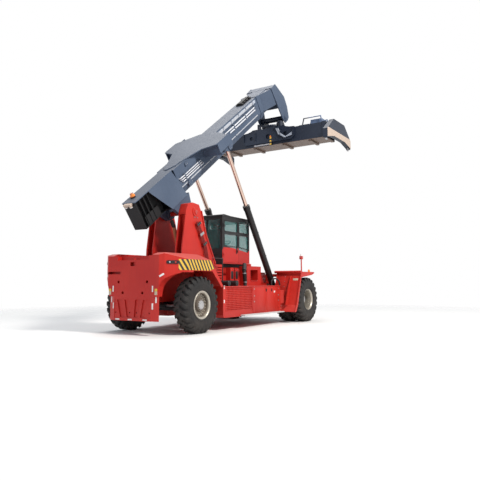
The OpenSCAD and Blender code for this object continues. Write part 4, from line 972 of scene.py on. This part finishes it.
# Deck: the cabinet beside the cab on the right, its opening from the rear axle, and the cap on its top
CABINET_REAR, CABINET_FRONT, CABINET_LOW, CABINET_HIGH, CABINET_Y = 3.56, 4.06, 1.52, 1.90, -1.012
CABINET_BACK = (-0.775, -0.762)
CABINET_CAP = (3.6, -0.88, 2.0995)
CAP_PROFILE = ((0.0, 0.034), (0.03, 0.033), (0.07, 0.024), (0.10, 0.010), (0.121, 0.002), (0.124, -0.02),
               (0.1205, -0.024))


def add_cabinet(bm):
    """Rolled frame round the cabinet's opening, the louvres behind it, and the cap on its top."""
    low, high = machine(CABINET_REAR, 0, CABINET_LOW), machine(CABINET_FRONT, 0, CABINET_HIGH)
    half = (high - low) / 2
    middle = (low + high) / 2 + LEFTWARD * CABINET_Y
    loop = rounded_loop(middle, FORWARD, half.x - 0.05, half.z - 0.05, 0.062, 36)
    add_tube(bm, loop, 0.014, 8, look=2, loop=True)
    back, face = CABINET_BACK
    for k in range(5):
        z = 1.56 + k * 0.068
        add_block(bm, (low.x + 0.02, back, z), (high.x - 0.02, face, z + 0.025), 0.003)
    cap = Matrix.Translation(machine(*CABINET_CAP))
    add_lathe(bm, cap, CAP_PROFILE, steps=40, look=2)
    bolt_ring(bm, cap, 0.105, 0.006, 8, 0.007, look=1)


HATCHES_X, HATCH_FACE_Y = (2.59, 2.87), -0.8802


def add_hatches(bm):
    """Raised panels of the two dark hatches beside the cab, and their bolts."""
    for x in HATCHES_X:
        for dx in (-0.07, 0.07):
            for z in (1.52, 1.90):
                add_bolt(bm, frame_of(machine(x + dx, HATCH_FACE_Y, z), (0, -1, 0)), 0.009, 1)
        add_block(bm, machine(x - 0.075, -0.884, 1.58), machine(x + 0.075, -0.879, 1.84), 0.002)


def deck_details():
    """The fittings between the tower and the cab."""
    bm = bmesh.new()
    add_bellows(bm)
    add_canister_bands(bm)
    add_cabinet(bm)
    add_hatches(bm)
    make_piece("deck_details", bm, "chassis", [BLACK, STEEL, RED])


# Front hood and fenders

RAIL_TOP = 1.42
HOOD_Y, HOOD_TOP = 0.62, 1.80
POST_X, POST_Y = FRONT_AXLE - 0.12, 1.88
# Rear face of the front fenders' sloping plates, from the front axle
FENDER_FACE = ((-1.145, 0.400), (-0.985, 0.640), (-0.813, 1.178), (-0.6025, 1.800))


# Hood from the rear axle, and from the hood's rear the hump on its lid, its louvres and its handles
HOOD_REAR, HOOD_FRONT = 4.43, 5.36
HOOD_LID_Y, HOOD_LID_TOP, HOOD_LID_OVER = 0.635, 1.835, 0.015
HUMP_REAR, HUMP_FRONT, HUMP_Y, HUMP_LOW, HUMP_TOP = 0.25, 0.65, 0.30, 1.834, 1.90
HOOD_LOUVRES, LOUVRES_LOW, LOUVRE_STEP, LOUVRE_HEIGHT = 7, 1.50, 0.038, 0.020
LOUVRE_REAR, LOUVRE_FRONT, LOUVRE_BACK, LOUVRE_FACE = 0.10, 0.50, 0.618, 0.632
HOOD_HANDLE = ((0.0, 0.0), (0.012, 0.030), (0.12, 0.030), (0.132, 0.0))
HOOD_HANDLE_REAR, HOOD_HANDLE_Z = 0.68, 1.62
HOOD_BOLTS_INSET, HOOD_BOLTS_Y, HOOD_BOLTS_Z = 0.04, 0.6202, (1.47, 1.76)


def front_hood():
    """Closed hood on the frame rails ahead of the cab's stand, with its lid, louvres and handles."""
    bm = bmesh.new()
    low, high = machine(HOOD_REAR, -HOOD_Y, RAIL_TOP + 0.0005), machine(HOOD_FRONT, HOOD_Y, HOOD_TOP)
    add_block(bm, low, high, 0.03)
    lid_low = (low.x - HOOD_LID_OVER, -HOOD_LID_Y, HOOD_TOP)
    add_block(bm, lid_low, (high.x + HOOD_LID_OVER, HOOD_LID_Y, HOOD_LID_TOP), 0.012)
    hump_low = (low.x + HUMP_REAR, -HUMP_Y, HUMP_LOW)
    add_block(bm, hump_low, (low.x + HUMP_FRONT, HUMP_Y, HUMP_TOP), 0.02)
    for side in (-1, 1):
        for k in range(HOOD_LOUVRES):
            z = LOUVRES_LOW + k * LOUVRE_STEP
            corner = (low.x + LOUVRE_REAR, side * LOUVRE_BACK, z)
            opposite = (low.x + LOUVRE_FRONT, side * LOUVRE_FACE, z + LOUVRE_HEIGHT)
            add_block(bm, corner, opposite, 0.004)
        rear = low.x + HOOD_HANDLE_REAR
        handle = [Vector((rear + dx, side * (HOOD_Y + out), HOOD_HANDLE_Z)) for dx, out in HOOD_HANDLE]
        add_tube(bm, handle, 0.008, 8, look=1)
        for x in (low.x + HOOD_BOLTS_INSET, high.x - HOOD_BOLTS_INSET):
            for z in HOOD_BOLTS_Z:
                add_bolt(bm, frame_of((x, side * HOOD_BOLTS_Y, z), (0, side, 0)), 0.009, 1)
    make_piece("front_hood", bm, "chassis", [RED, STEEL])


# Inward plate and flange: middle from the middle plane, width, how much longer than the face, and thickness
FENDER_PARTS = ((1.305, 0.41, 0.006, 0.030), (1.108, 0.014, 0.004, 0.075))
FENDER_DEPTH = 0.032
FENDER_BOLTS, FENDER_BOLTS_Y, FENDER_BOLTS_DEPTH = (0.2, 0.5, 0.8), 1.46, 0.002


def fender_plates():
    """The sloping plates go on inwards to the frame, with a flange along their inner edge and bolts."""
    bm = bmesh.new()
    for side in (-1, 1):
        for (x0, z0), (x1, z1) in zip(FENDER_FACE, FENDER_FACE[1:]):
            low, high = Vector((FRONT_AXLE + x0, 0, z0)), Vector((FRONT_AXLE + x1, 0, z1))
            rise = (high - low).normalized()
            back = Vector((-rise.z, 0, rise.x))
            length = (high - low).length
            middle = (low + high) / 2 - back * FENDER_DEPTH
            for y, width, rest, thickness in FENDER_PARTS:
                size = (width, length + rest)
                add_plate(bm, middle + LEFTWARD * side * y, back, size, thickness, upward=rise)
            for share in FENDER_BOLTS:
                face = low + (high - low) * share - back * FENDER_BOLTS_DEPTH
                spot = face + LEFTWARD * side * FENDER_BOLTS_Y
                add_bolt(bm, frame_of(spot, back), 0.010, 1)
    make_piece("fender_plates", bm, "chassis", [RED, STEEL])


# Lens and lamp profiles by radius and height
POST_LENS = ((0.0, 0.012), (0.016, 0.011), (0.031, 0.006), (0.038, 0.0), (0.040, -0.004))
POST_TOP = ((0.0, 0.086), (0.02, 0.084), (0.036, 0.076), (0.0415, 0.066), (0.0415, 0.020), (0.046, 0.014),
            (0.046, 0.0))
MARKER = ((0.0, 0.096), (0.02, 0.094), (0.036, 0.086), (0.0415, 0.074), (0.0415, 0.030), (0.048, 0.024),
          (0.050, 0.0))
FENDER_TOP = 1.85


def front_lamps():
    """Lenses of the lamp posts, the orange markers, and the bolts along the front fenders."""
    bm = bmesh.new()
    for side in (-1, 1):
        head = Vector((POST_X, side * POST_Y, 2.39))
        for axis, reach in ((FORWARD, 0.061), (BACKWARD, 0.061), (LEFTWARD * side, 0.0505)):
            add_lathe(bm, frame_of(head + axis * reach, axis), POST_LENS, steps=24)
        add_lathe(bm, Matrix.Translation((head.x, head.y, 2.450)), POST_TOP, steps=28, look=1)
        spot = Matrix.Translation((FRONT_AXLE + 0.2, side * 2.04, FENDER_TOP))
        add_lathe(bm, spot, MARKER, steps=28, look=2)
        # The marker stands where the fifth bolt would be
        for k in (0, 1, 2, 3, 5, 6):
            spot = Matrix.Translation((FRONT_AXLE - 0.52 + k * 0.15, side * 2.05, FENDER_TOP + 0.0002))
            add_bolt(bm, spot, 0.009, 3)
    make_piece("front_lamps", bm, "chassis", [LAMP_RED, WHITE, ORANGE, STEEL])


# Tower, from the boom's pivot pins
PIN_END_Y, KEEPER_BOLTS = 0.7552, (0.075, 0.7452, -0.18)
KEEPER = ((0.0, 0.006), (0.055, 0.006), (0.060, 0.003), (0.076, 0.003), (0.080, -0.003))
PIPE_CLAMP_LEAN = math.radians(61)
PIPE_CLAMP = (0.082, 0.008, 0.215)


def tower_details():
    """Keeper plates and bolts of the boom's pivot pins, and the brackets of the tower's pipes."""
    bm = bmesh.new()
    dx, y, dz = KEEPER_BOLTS
    for side in (-1, 1):
        pin = frame_of(PIVOT + LEFTWARD * side * PIN_END_Y, (0, side, 0))
        add_lathe(bm, pin, KEEPER, steps=36)
        bolt_ring(bm, pin, 0.040, 0.006, 4, 0.010, look=1)
        for way in (-1, 1):
            add_bolt(bm, frame_of(PIVOT + Vector((way * dx, side * y, dz)), (0, side, 0)), 0.014, 1)
    lean = Matrix.Rotation(PIPE_CLAMP_LEAN, 4, "Y")
    for k, look in ((0, 2), (1, 1), (2, 2)):
        place = Matrix.Translation(machine(0.79 + k * 0.165, -0.8045, 3.29 - k * 0.305)) @ lean
        add_box(bm, place @ Matrix.Translation((0, -0.002, 0.02)), PIPE_CLAMP, 0.003, look)
        for z in (-0.06, 0.02, 0.10):
            add_bolt(bm, place @ frame_of(Vector((0, -0.006, z)), (0, -1, 0)), 0.009, 1)
    make_piece("tower_details", bm, "chassis", [RED, STEEL, BLACK])


for piece_side, piece_name in SIDES:
    hazard_stripes(piece_side, piece_name)
    box_details(piece_side, piece_name)
reflectors()
for piece_side, piece_name in SIDES:
    tail_lamp(piece_side, piece_name)
running_boards()
deck_details()
front_hood()
fender_plates()
front_lamps()
tower_details()


# Cab

CAB_X, CAB_FRONT, CAB_Y = 2.31, 4.07, 0.665
SEAL_CORNER = 0.035


def window_seal(bm, corners, side, y, r):
    """A rubber seal round a window, through its corners given as x and z."""
    loop = []
    for before, (x, z), after in zip(corners[-1:] + corners[:-1], corners, corners[1:] + corners[:1]):
        here = Vector((x, 0, z))
        for near in (before, after):
            step = (Vector((near[0], 0, near[1])) - here).normalized() * SEAL_CORNER
            loop.append(machine(here.x + step.x, side * y, here.z + step.z))
    add_tube(bm, loop, r, 8, loop=True)


# Windows, by how far their corners are from the rear axle and how high
SIDE_WINDOWS = (((3.36, 2.70), (3.97, 2.63), (3.97, 3.12), (3.36, 3.12)),
                ((3.36, 3.21), (3.97, 3.21), (3.97, 3.58), (3.36, 3.58)))
DOOR_WINDOWS = (((2.43, 3.21), (3.27, 3.21), (3.27, 3.58), (2.43, 3.58)),
                ((2.43, 2.715), (3.27, 2.70), (3.27, 3.12), (2.43, 3.12)))
WORK_LAMP = ((0.0, 0.004), (0.040, 0.003), (0.046, 0.0), (0.050, -0.004), (0.050, -0.04), (0.030, -0.055))
GUTTER_Z = 3.722
REAR_BARS_Z, REAR_BAR_POINTS_Y = (2.2, 2.32, 2.44), (-0.5, -0.2, 0.2, 0.5)


def cab_details():
    """Window seals, roof gutters, work lamps and the bars across the cab's rear."""
    bm = bmesh.new()
    for side in (-1, 1):
        for corners in SIDE_WINDOWS:
            window_seal(bm, corners, side, CAB_Y + 0.002, 0.012)
        gutter = [machine(CAB_X + 0.02 + k * 0.2, side * (CAB_Y + 0.012), GUTTER_Z) for k in range(9)]
        add_tube(bm, gutter, 0.010, 8)
        lamp = frame_of(machine(CAB_FRONT + 0.055, side * 0.47, 3.70), (1, 0, -0.2))
        add_lathe(bm, lamp, WORK_LAMP, steps=24, look=1)
    for z in REAR_BARS_Z:
        add_tube(bm, [machine(CAB_X - 0.012, y, z) for y in REAR_BAR_POINTS_Y], 0.012, 8)
    make_piece("cab_details", bm, "chassis", [BLACK, STEEL])


DOOR_HANDLE_X, DOOR_HANDLE = 3.20, ((0.0, 2.50), (0.045, 2.51), (0.045, 2.59), (0.0, 2.60))


def door_details():
    """Window seals, handle and lock plate of the cab's door."""
    bm = bmesh.new()
    for corners in DOOR_WINDOWS:
        window_seal(bm, corners, -1, CAB_Y + 0.001, 0.011)
    add_tube(bm, [machine(DOOR_HANDLE_X, -(CAB_Y + out), z) for out, z in DOOR_HANDLE], 0.010, 10)
    plate_low = machine(DOOR_HANDLE_X - 0.03, -CAB_Y - 0.006, 2.46)
    plate_high = machine(DOOR_HANDLE_X + 0.03, -CAB_Y + 0.001, 2.64)
    add_block(bm, plate_low, plate_high, 0.003)
    make_piece("door_details", bm, "cab_door", [BLACK])


cab_details()
door_details()


# Boom

BOOM_Y = 0.335
PIPE_Y = 0.3773
TAIL_UNDER = 1.2798


def boom_frame(x, y, z, axis):
    """A matrix on the boom whose Z runs along an axis given in the boom's directions."""
    out = BOOM_AXIS * axis[0] + LEFTWARD * axis[1] + BOOM_UP * axis[2]
    return frame_of(on_boom(x, y, z), out, BOOM_UP)


def boom_box(bm, corner, opposite, edge, look):
    """A bevelled block between two opposite corners in the boom's directions."""
    corner, opposite = Vector(corner), Vector(opposite)
    size = Vector(abs(part) for part in opposite - corner)
    turn = Matrix.Rotation(-BOOM_ANGLE, 4, "Y")
    add_box(bm, Matrix.Translation(on_boom(*((corner + opposite) / 2))) @ turn, size, edge, look)


# Side of the outer boom, along and above the pivot: sleeves over its pipes, lids of its cable channel,
# their clamps, and the flange on its lower bevel
SLEEVES, SLEEVES_Z, SLEEVE_R = ((3.37, 4.29), (4.37, 5.29), (5.37, 6.19)), (1.128, 1.028), 0.033
SLEEVE_NUT = ((0.034, 0.0), (0.039, 0.003), (0.039, 0.037), (0.034, 0.040))
LIDS = ((3.27, 3.61), (3.675, 4.25), (4.315, 4.89), (4.955, 5.53), (5.595, 6.17))
LID_BACK, LID_FACE, LID_LOW, LID_HIGH = 0.3825, 0.3865, 1.272, 1.352
CHANNEL_CLAMPS, PIPE_CLAMPS = (3.642, 4.282, 4.922, 5.562, 6.202), (3.33, 4.33, 5.33, 6.23)
FLANGES, FLANGE_LOW, FLANGE_HIGH = ((0.32, 2.2), (2.25, 4.3), (4.35, 6.36)), 0.735, 0.775


def boom_pipes(side, name):
    """Two pale sleeves over the side pipes between their clamps, with nuts, and the cable channel's lids."""
    bm = bmesh.new()
    out = (0, side, 0)
    for rear, front in SLEEVES:
        for z in SLEEVES_Z:
            path = [on_boom(rear + (front - rear) * share, side * PIPE_Y, z) for share in (0.0, 0.5, 1.0)]
            add_tube(bm, path, SLEEVE_R, 16)
            for x in (rear + 0.02, front - 0.06):
                add_lathe(bm, boom_frame(x, side * PIPE_Y, z, (1, 0, 0)), SLEEVE_NUT, steps=6)
    for rear, front in LIDS:
        boom_box(bm, (rear, side * LID_BACK, LID_LOW), (front, side * LID_FACE, LID_HIGH), 0.0015, 1)
        for x in (rear + 0.04, front - 0.04):
            add_bolt(bm, boom_frame(x, side * LID_FACE, (LID_LOW + LID_HIGH) / 2, out), 0.007)
    for places, y, heights, r in ((CHANNEL_CLAMPS, 0.4055, (1.265, 1.362), 0.006),
                                  (PIPE_CLAMPS, 0.3975, (1.175, 0.994), 0.008)):
        for x in places:
            for z in heights:
                add_bolt(bm, boom_frame(x, side * y, z, out), r)
    for rear, front in FLANGES:
        corner = (rear, side * (BOOM_Y - 0.002), FLANGE_LOW)
        opposite = (front, side * (BOOM_Y + 0.007), FLANGE_HIGH)
        boom_box(bm, corner, opposite, 0.002, 1)
    make_piece("boom_pipes_" + name, bm, "boom_outer", [TUBE, PALE])


# Right side of the boom's root
ROOT_TUBES, ROOT_TUBE_STEP, ROOT_TUBE_DROP, ROOT_TUBE_R = 3, 0.05, 0.075, 0.020
ROOT_TUBE_REAR, ROOT_TUBE_FRONT, ROOT_TUBE_Z = 0.34, 1.69, 1.04
ROOT_TUBE_BEND = ((0.0, 0.330), (0.015, 0.372), (0.07, 0.386), (0.5, 0.386))
JUNCTION_BOX = ((0.86, -0.372, 1.22), (1.02, -0.334, 1.33))


def add_root_tubes(bm):
    """Three tubes along the boom's root on the right, their clamps and a junction box."""
    right = (0, -1, 0)
    for i in range(ROOT_TUBES):
        rear, front = ROOT_TUBE_REAR + i * ROOT_TUBE_STEP, ROOT_TUBE_FRONT + i * ROOT_TUBE_STEP
        z = ROOT_TUBE_Z - i * ROOT_TUBE_DROP
        route = [(rear + run, y) for run, y in ROOT_TUBE_BEND]
        route += [(front - run, y) for run, y in reversed(ROOT_TUBE_BEND)]
        add_tube(bm, [on_boom(x, -y, z) for x, y in route], ROOT_TUBE_R, 12)
    for x in (0.60, 1.50):
        boom_box(bm, (x, -0.412, 0.845), (x + 0.05, -0.334, 1.085), 0.004, 1)
        for z in (0.935, 1.0):
            add_bolt(bm, boom_frame(x + 0.025, -0.412, z, right), 0.008, 2)
    boom_box(bm, *JUNCTION_BOX, 0.008, 1)
    for x in (0.90, 0.98):
        add_bolt(bm, boom_frame(x, JUNCTION_BOX[0][1], 1.275, right), 0.012, 2)


# Bosses of the boom by radius and height, and where they and the pivot's bolts are from the pivot
BOSS = ((0.0, 0.004), (0.050, 0.004), (0.055, 0.010), (0.078, 0.010), (0.084, 0.0), (0.119, -0.001))
PIN_CAP = ((0.0, 0.006), (0.048, 0.006), (0.054, 0.002), (0.118, 0.001))
TAIL_LIGHT = ((0.0, 0.006), (0.030, 0.005), (0.042, 0.001), (0.050, 0.0), (0.052, -0.02))
BOSS_PLACE, PIVOT_BOLTS, PIVOT_BOLTS_Z, EYE_HALF = (0.77, 0.3772, 0.69), (-0.14, -0.02, 0.10), 0.22, 0.185


def boom_details():
    """Root tubes, bosses and bolts, the caps of the lift pins, and the lamps under the boom's tail."""
    bm = bmesh.new()
    add_root_tubes(bm)
    for side in (-1, 1):
        spot = boom_frame(*mirrored(BOSS_PLACE, side), (0, side, 0))
        add_lathe(bm, spot, BOSS, steps=36, look=1)
        bolt_ring(bm, spot, 0.100, 0.0, 8, 0.009, look=2)
        for out in (-side, side):
            spot = boom_frame(EYE_ALONG, side * LIFT_Y + out * EYE_HALF, EYE_UP, (0, out, 0))
            add_lathe(bm, spot, PIN_CAP, steps=36, look=1)
            bolt_ring(bm, spot, 0.088, 0.001, 6, 0.010, look=2)
        for x in PIVOT_BOLTS:
            add_bolt(bm, boom_frame(x, side * 0.4302, PIVOT_BOLTS_Z, (0, side, 0)), 0.010, 2)
        lamp = frame_of(on_boom(-1.80, side * 0.09, TAIL_UNDER), -BOOM_UP)
        add_lathe(bm, lamp, TAIL_LIGHT, steps=28, look=3)
    make_piece("boom_details", bm, "boom_outer", [TUBE, BOOM, STEEL, WHITE])


# Beacon on the boom's tail, by radius and height
BEACON_PLACE = (-1.42, 0.06, 1.41)
BEACON_LENS = ((0.0, 0.1475), (0.03, 0.1465), (0.046, 0.141), (0.055, 0.13), (0.0775, 0.062), (0.078, 0.05),
               (0.0755, 0.046))
BEACON_FOOT = ((0.076, 0.046), (0.081, 0.042), (0.081, 0.004), (0.084, 0.001))
BEACON_RIBS, BEACON_R, BEACON_RIB = 18, 0.0775, (0.006, 0.006, 0.018)


def beacon():
    """Ribbed lens and foot of the orange beacon."""
    bm = bmesh.new()
    base = boom_frame(*BEACON_PLACE, UPWARD)
    add_lathe(bm, base, BEACON_LENS, steps=40)
    for c, s in circle(BEACON_RIBS):
        spot = base @ Matrix.Translation((BEACON_R * c, BEACON_R * s, 0.053))
        add_box(bm, spot, BEACON_RIB, 0.0015)
    add_lathe(bm, base, BEACON_FOOT, steps=40, look=1)
    make_piece("beacon_lens", bm, "boom_outer", [ORANGE, BLACK])


# Lift barrels, from their base pins
BARREL_MOUTH, BARREL_BANDS = 3.62, (0.46, 1.42, 2.42)
GLAND = ((0.0735, 0.010), (0.088, 0.012), (0.120, 0.010), (0.126, 0.003), (0.1295, -0.004))
BARREL_BAND = ((0.1145, -0.02), (0.119, -0.019), (0.119, 0.019), (0.1145, 0.02))


def cylinder_glands():
    """Bolted glands at the mouths of the lift barrels, and bands along them."""
    bm = bmesh.new()
    for side in (-1, 1):
        mouth = frame_of(on_lift(BARREL_MOUTH, side * LIFT_Y), LIFT_AXIS)
        add_lathe(bm, mouth, GLAND, steps=48)
        bolt_ring(bm, mouth, 0.106, 0.010, 12, 0.009, look=1)
        for x in BARREL_BANDS:
            add_lathe(bm, frame_of(on_lift(x, side * LIFT_Y), LIFT_AXIS), BARREL_BAND, steps=48)
    make_piece("cylinder_glands", bm, "lift_barrels", [BLACK, STEEL])


for pipe_side, pipe_name in SIDES:
    boom_pipes(pipe_side, pipe_name)
boom_details()
beacon()
cylinder_glands()


# Spreader, from its hanging pin and with heights from the ground
SLEW_RING_Z, SLEW_BOLTS_R, SLEW_BOLTS = HANG_PIN.z - 0.333, 0.435, 30
HANG_PIN_END_Y, HANG_PIN_RING = 0.5452, ((0.064, 0.003), (0.090, 0.003), (0.112, -0.001))


def slew_ring_bolts():
    """Bolts of the slewing ring and rings round the ends of the hanging pin."""
    bm = bmesh.new()
    bolt_ring(bm, Matrix.Translation(on_hanger(0, 0, SLEW_RING_Z)), SLEW_BOLTS_R, 0.0, SLEW_BOLTS, 0.013)
    for side in (-1, 1):
        end = frame_of(on_hanger(0, side * HANG_PIN_END_Y, HANG_PIN.z), (0, side, 0))
        add_lathe(bm, end, HANG_PIN_RING, steps=36, look=1)
        bolt_ring(bm, end, 0.088, 0.003, 8, 0.009)
    make_piece("slew_ring_bolts", bm, "spreader_yoke", [STEEL, NAVY])


POINTER_Z, POINTER_BLOCKS, POINTER_STEP, POINTER_RISE = 7.25, 5, 0.066, 0.0655
POINTER_LAMP_PLACE = (-0.5205, -0.125, 7.62)
POINTER_LAMP = ((0.0, 0.030), (0.018, 0.027), (0.030, 0.016), (0.034, 0.0))


def shift_pointer():
    """The striped pointer of the side shift, with an orange lamp on its top."""
    bm = bmesh.new()
    for k in range(POINTER_BLOCKS):
        low = POINTER_Z + k * POINTER_STEP
        corner, opposite = on_hanger(-0.532, -0.165, low), on_hanger(-0.521, -0.085, low + POINTER_RISE)
        add_block(bm, corner, opposite, 0.0015, k % 2)
    lamp = frame_of(on_hanger(*POINTER_LAMP_PLACE), BACKWARD)
    add_lathe(bm, lamp, POINTER_LAMP, steps=24, look=2)
    make_piece("shift_pointer", bm, "rotator", [YELLOW, STRIPE_BLACK, ORANGE])


SCALE_FACE, SCALE_Z, SCALE_BOLTS_Y = -0.458, 7.315, (-0.04, 0.32, 0.685)


def shift_scale():
    """The pale bar on the spreader's frame that the pointer runs along."""
    bm = bmesh.new()
    low, high = on_hanger(SCALE_FACE, -0.075, SCALE_Z - 0.03), on_hanger(-0.4495, 0.72, SCALE_Z + 0.03)
    add_block(bm, low, high, 0.002)
    for y in SCALE_BOLTS_Y:
        add_bolt(bm, frame_of(on_hanger(SCALE_FACE, y, SCALE_Z), BACKWARD), 0.008, 1)
    make_piece("shift_scale", bm, "spreader_frame", [WHITE, STEEL])


slew_ring_bolts()
shift_pointer()
shift_scale()


# Camera, lights and stage

# Fitted to the photograph: place from the rear axle, turns in radians, and pixels of its square frame
CAMERA_BACK, CAMERA_RIGHT, CAMERA_HIGH = 12.723, 10.865, 1.457
CAMERA_YAW, CAMERA_PITCH, CAMERA_ROLL = 0.56295, 0.12814, -0.0046
FRAME_PIXELS = 480
FOCAL_PIXELS = 536.2
AXIS_ROW_PIXELS = 213.5
SENSOR_MM = 36.0
VIEW_REACH = 200.0
LIGHT_AIM = Vector((0, 0, 3))
FLOOR_REACH = 21.0
FLOOR_FADE = (8.0, 19.0)


def camera():
    """The camera that was fitted to the photograph."""
    data = bpy.data.cameras.new("camera")
    data.sensor_width = SENSOR_MM
    data.lens = FOCAL_PIXELS / FRAME_PIXELS * SENSOR_MM
    data.shift_y = -(FRAME_PIXELS / 2 - AXIS_ROW_PIXELS) / FRAME_PIXELS
    data.clip_end = VIEW_REACH
    cam = bpy.data.objects.new("camera", data)
    yaw = Matrix.Rotation(CAMERA_YAW - math.pi / 2, 4, "Z")
    pitch = Matrix.Rotation(math.pi / 2 + CAMERA_PITCH, 4, "X")
    place = Matrix.Translation(machine(-CAMERA_BACK, -CAMERA_RIGHT, CAMERA_HIGH))
    cam.matrix_world = place @ yaw @ pitch @ Matrix.Rotation(CAMERA_ROLL, 4, "Z")
    bpy.context.scene.collection.objects.link(cam)
    bpy.context.scene.camera = cam


def area_light(name, place, size, power, tint):
    """A rectangular lamp that looks at the machine's middle."""
    data = bpy.data.lights.new(name, "AREA")
    data.shape = "RECTANGLE"
    data.size, data.size_y = size
    data.energy = power
    data.color = tint
    lamp = bpy.data.objects.new(name, data)
    back = Vector(place) - LIGHT_AIM
    lamp.matrix_world = Matrix.Translation(place) @ back.to_track_quat("Z", "Y").to_matrix().to_4x4()
    bpy.context.scene.collection.objects.link(lamp)


FLOOR_TONES = (colour(0.74, 0.73, 0.72), colour(0.80, 0.79, 0.78))
FLOOR_SCALE, FLOOR_ROUGH = 0.4, 0.8


def floor_paint():
    """A pale floor that clears towards its edge."""
    paint = bpy.data.materials.new("floor_pale")
    paint.use_nodes = True
    add = node_tools(paint)
    place = add("ShaderNodeTexCoord").outputs["Object"]
    shade = blend(add, noise(add, place, FLOOR_SCALE, 4.0), *FLOOR_TONES)
    surface = add("ShaderNodeBsdfPrincipled", {"Base Color": shade, "Roughness": FLOOR_ROUGH})
    reach = add("ShaderNodeVectorMath", {0: place}, operation="LENGTH").outputs["Value"]
    clear = add("ShaderNodeBsdfTransparent")
    fade = spread(add, reach, *FLOOR_FADE, 0.0, 1.0)
    mix = add("ShaderNodeMixShader", {0: fade, 1: surface.outputs[0], 2: clear.outputs[0]})
    add("ShaderNodeOutputMaterial", {"Surface": mix.outputs[0]})
    return paint


def studio_floor():
    """The floor, which is part of the stage."""
    bm = bmesh.new()
    bmesh.ops.create_grid(bm, x_segments=2, y_segments=2, size=FLOOR_REACH)
    mesh = bpy.data.meshes.new("floor")
    bm.to_mesh(mesh)
    bm.free()
    mesh.materials.append(floor_paint())
    floor = bpy.data.objects.new("floor", mesh)
    bpy.context.scene.collection.objects.link(floor)


def studio_world():
    """White where it is seen, mirrored or seen through glass, and a soft blue sky for the light."""
    world = bpy.data.worlds.new("world")
    bpy.context.scene.world = world
    world.use_nodes = True
    add = node_tools(world)
    path = add("ShaderNodeLightPath")
    backdrop = add("ShaderNodeBackground", {"Color": (1, 1, 1, 1), "Strength": 1.0})
    sky = add("ShaderNodeBackground", {"Color": (0.80, 0.89, 1.0, 1), "Strength": 0.50})
    shown = path.outputs["Is Camera Ray"]
    for kind in ("Is Glossy Ray", "Is Transmission Ray"):
        shown = add("ShaderNodeMath", {0: shown, 1: path.outputs[kind]}, operation="MAXIMUM").outputs[0]
    mix = add("ShaderNodeMixShader", {0: shown, 1: sky.outputs[0], 2: backdrop.outputs[0]})
    add("ShaderNodeOutputWorld", {"Surface": mix.outputs[0]})


camera()
studio_floor()
studio_world()
area_light("key", (-4.0, -18.0, 20.0), (4, 4), 6800.0, (1.0, 0.96, 0.90))
area_light("top", (3.0, 4.0, 22.0), (12, 12), 2600.0, (1.0, 0.98, 0.95))
area_light("fill", (-19.0, 3.0, 6.0), (9, 6), 500.0, (0.85, 0.92, 1.0))
bpy.context.scene.view_settings.view_transform = "Standard"
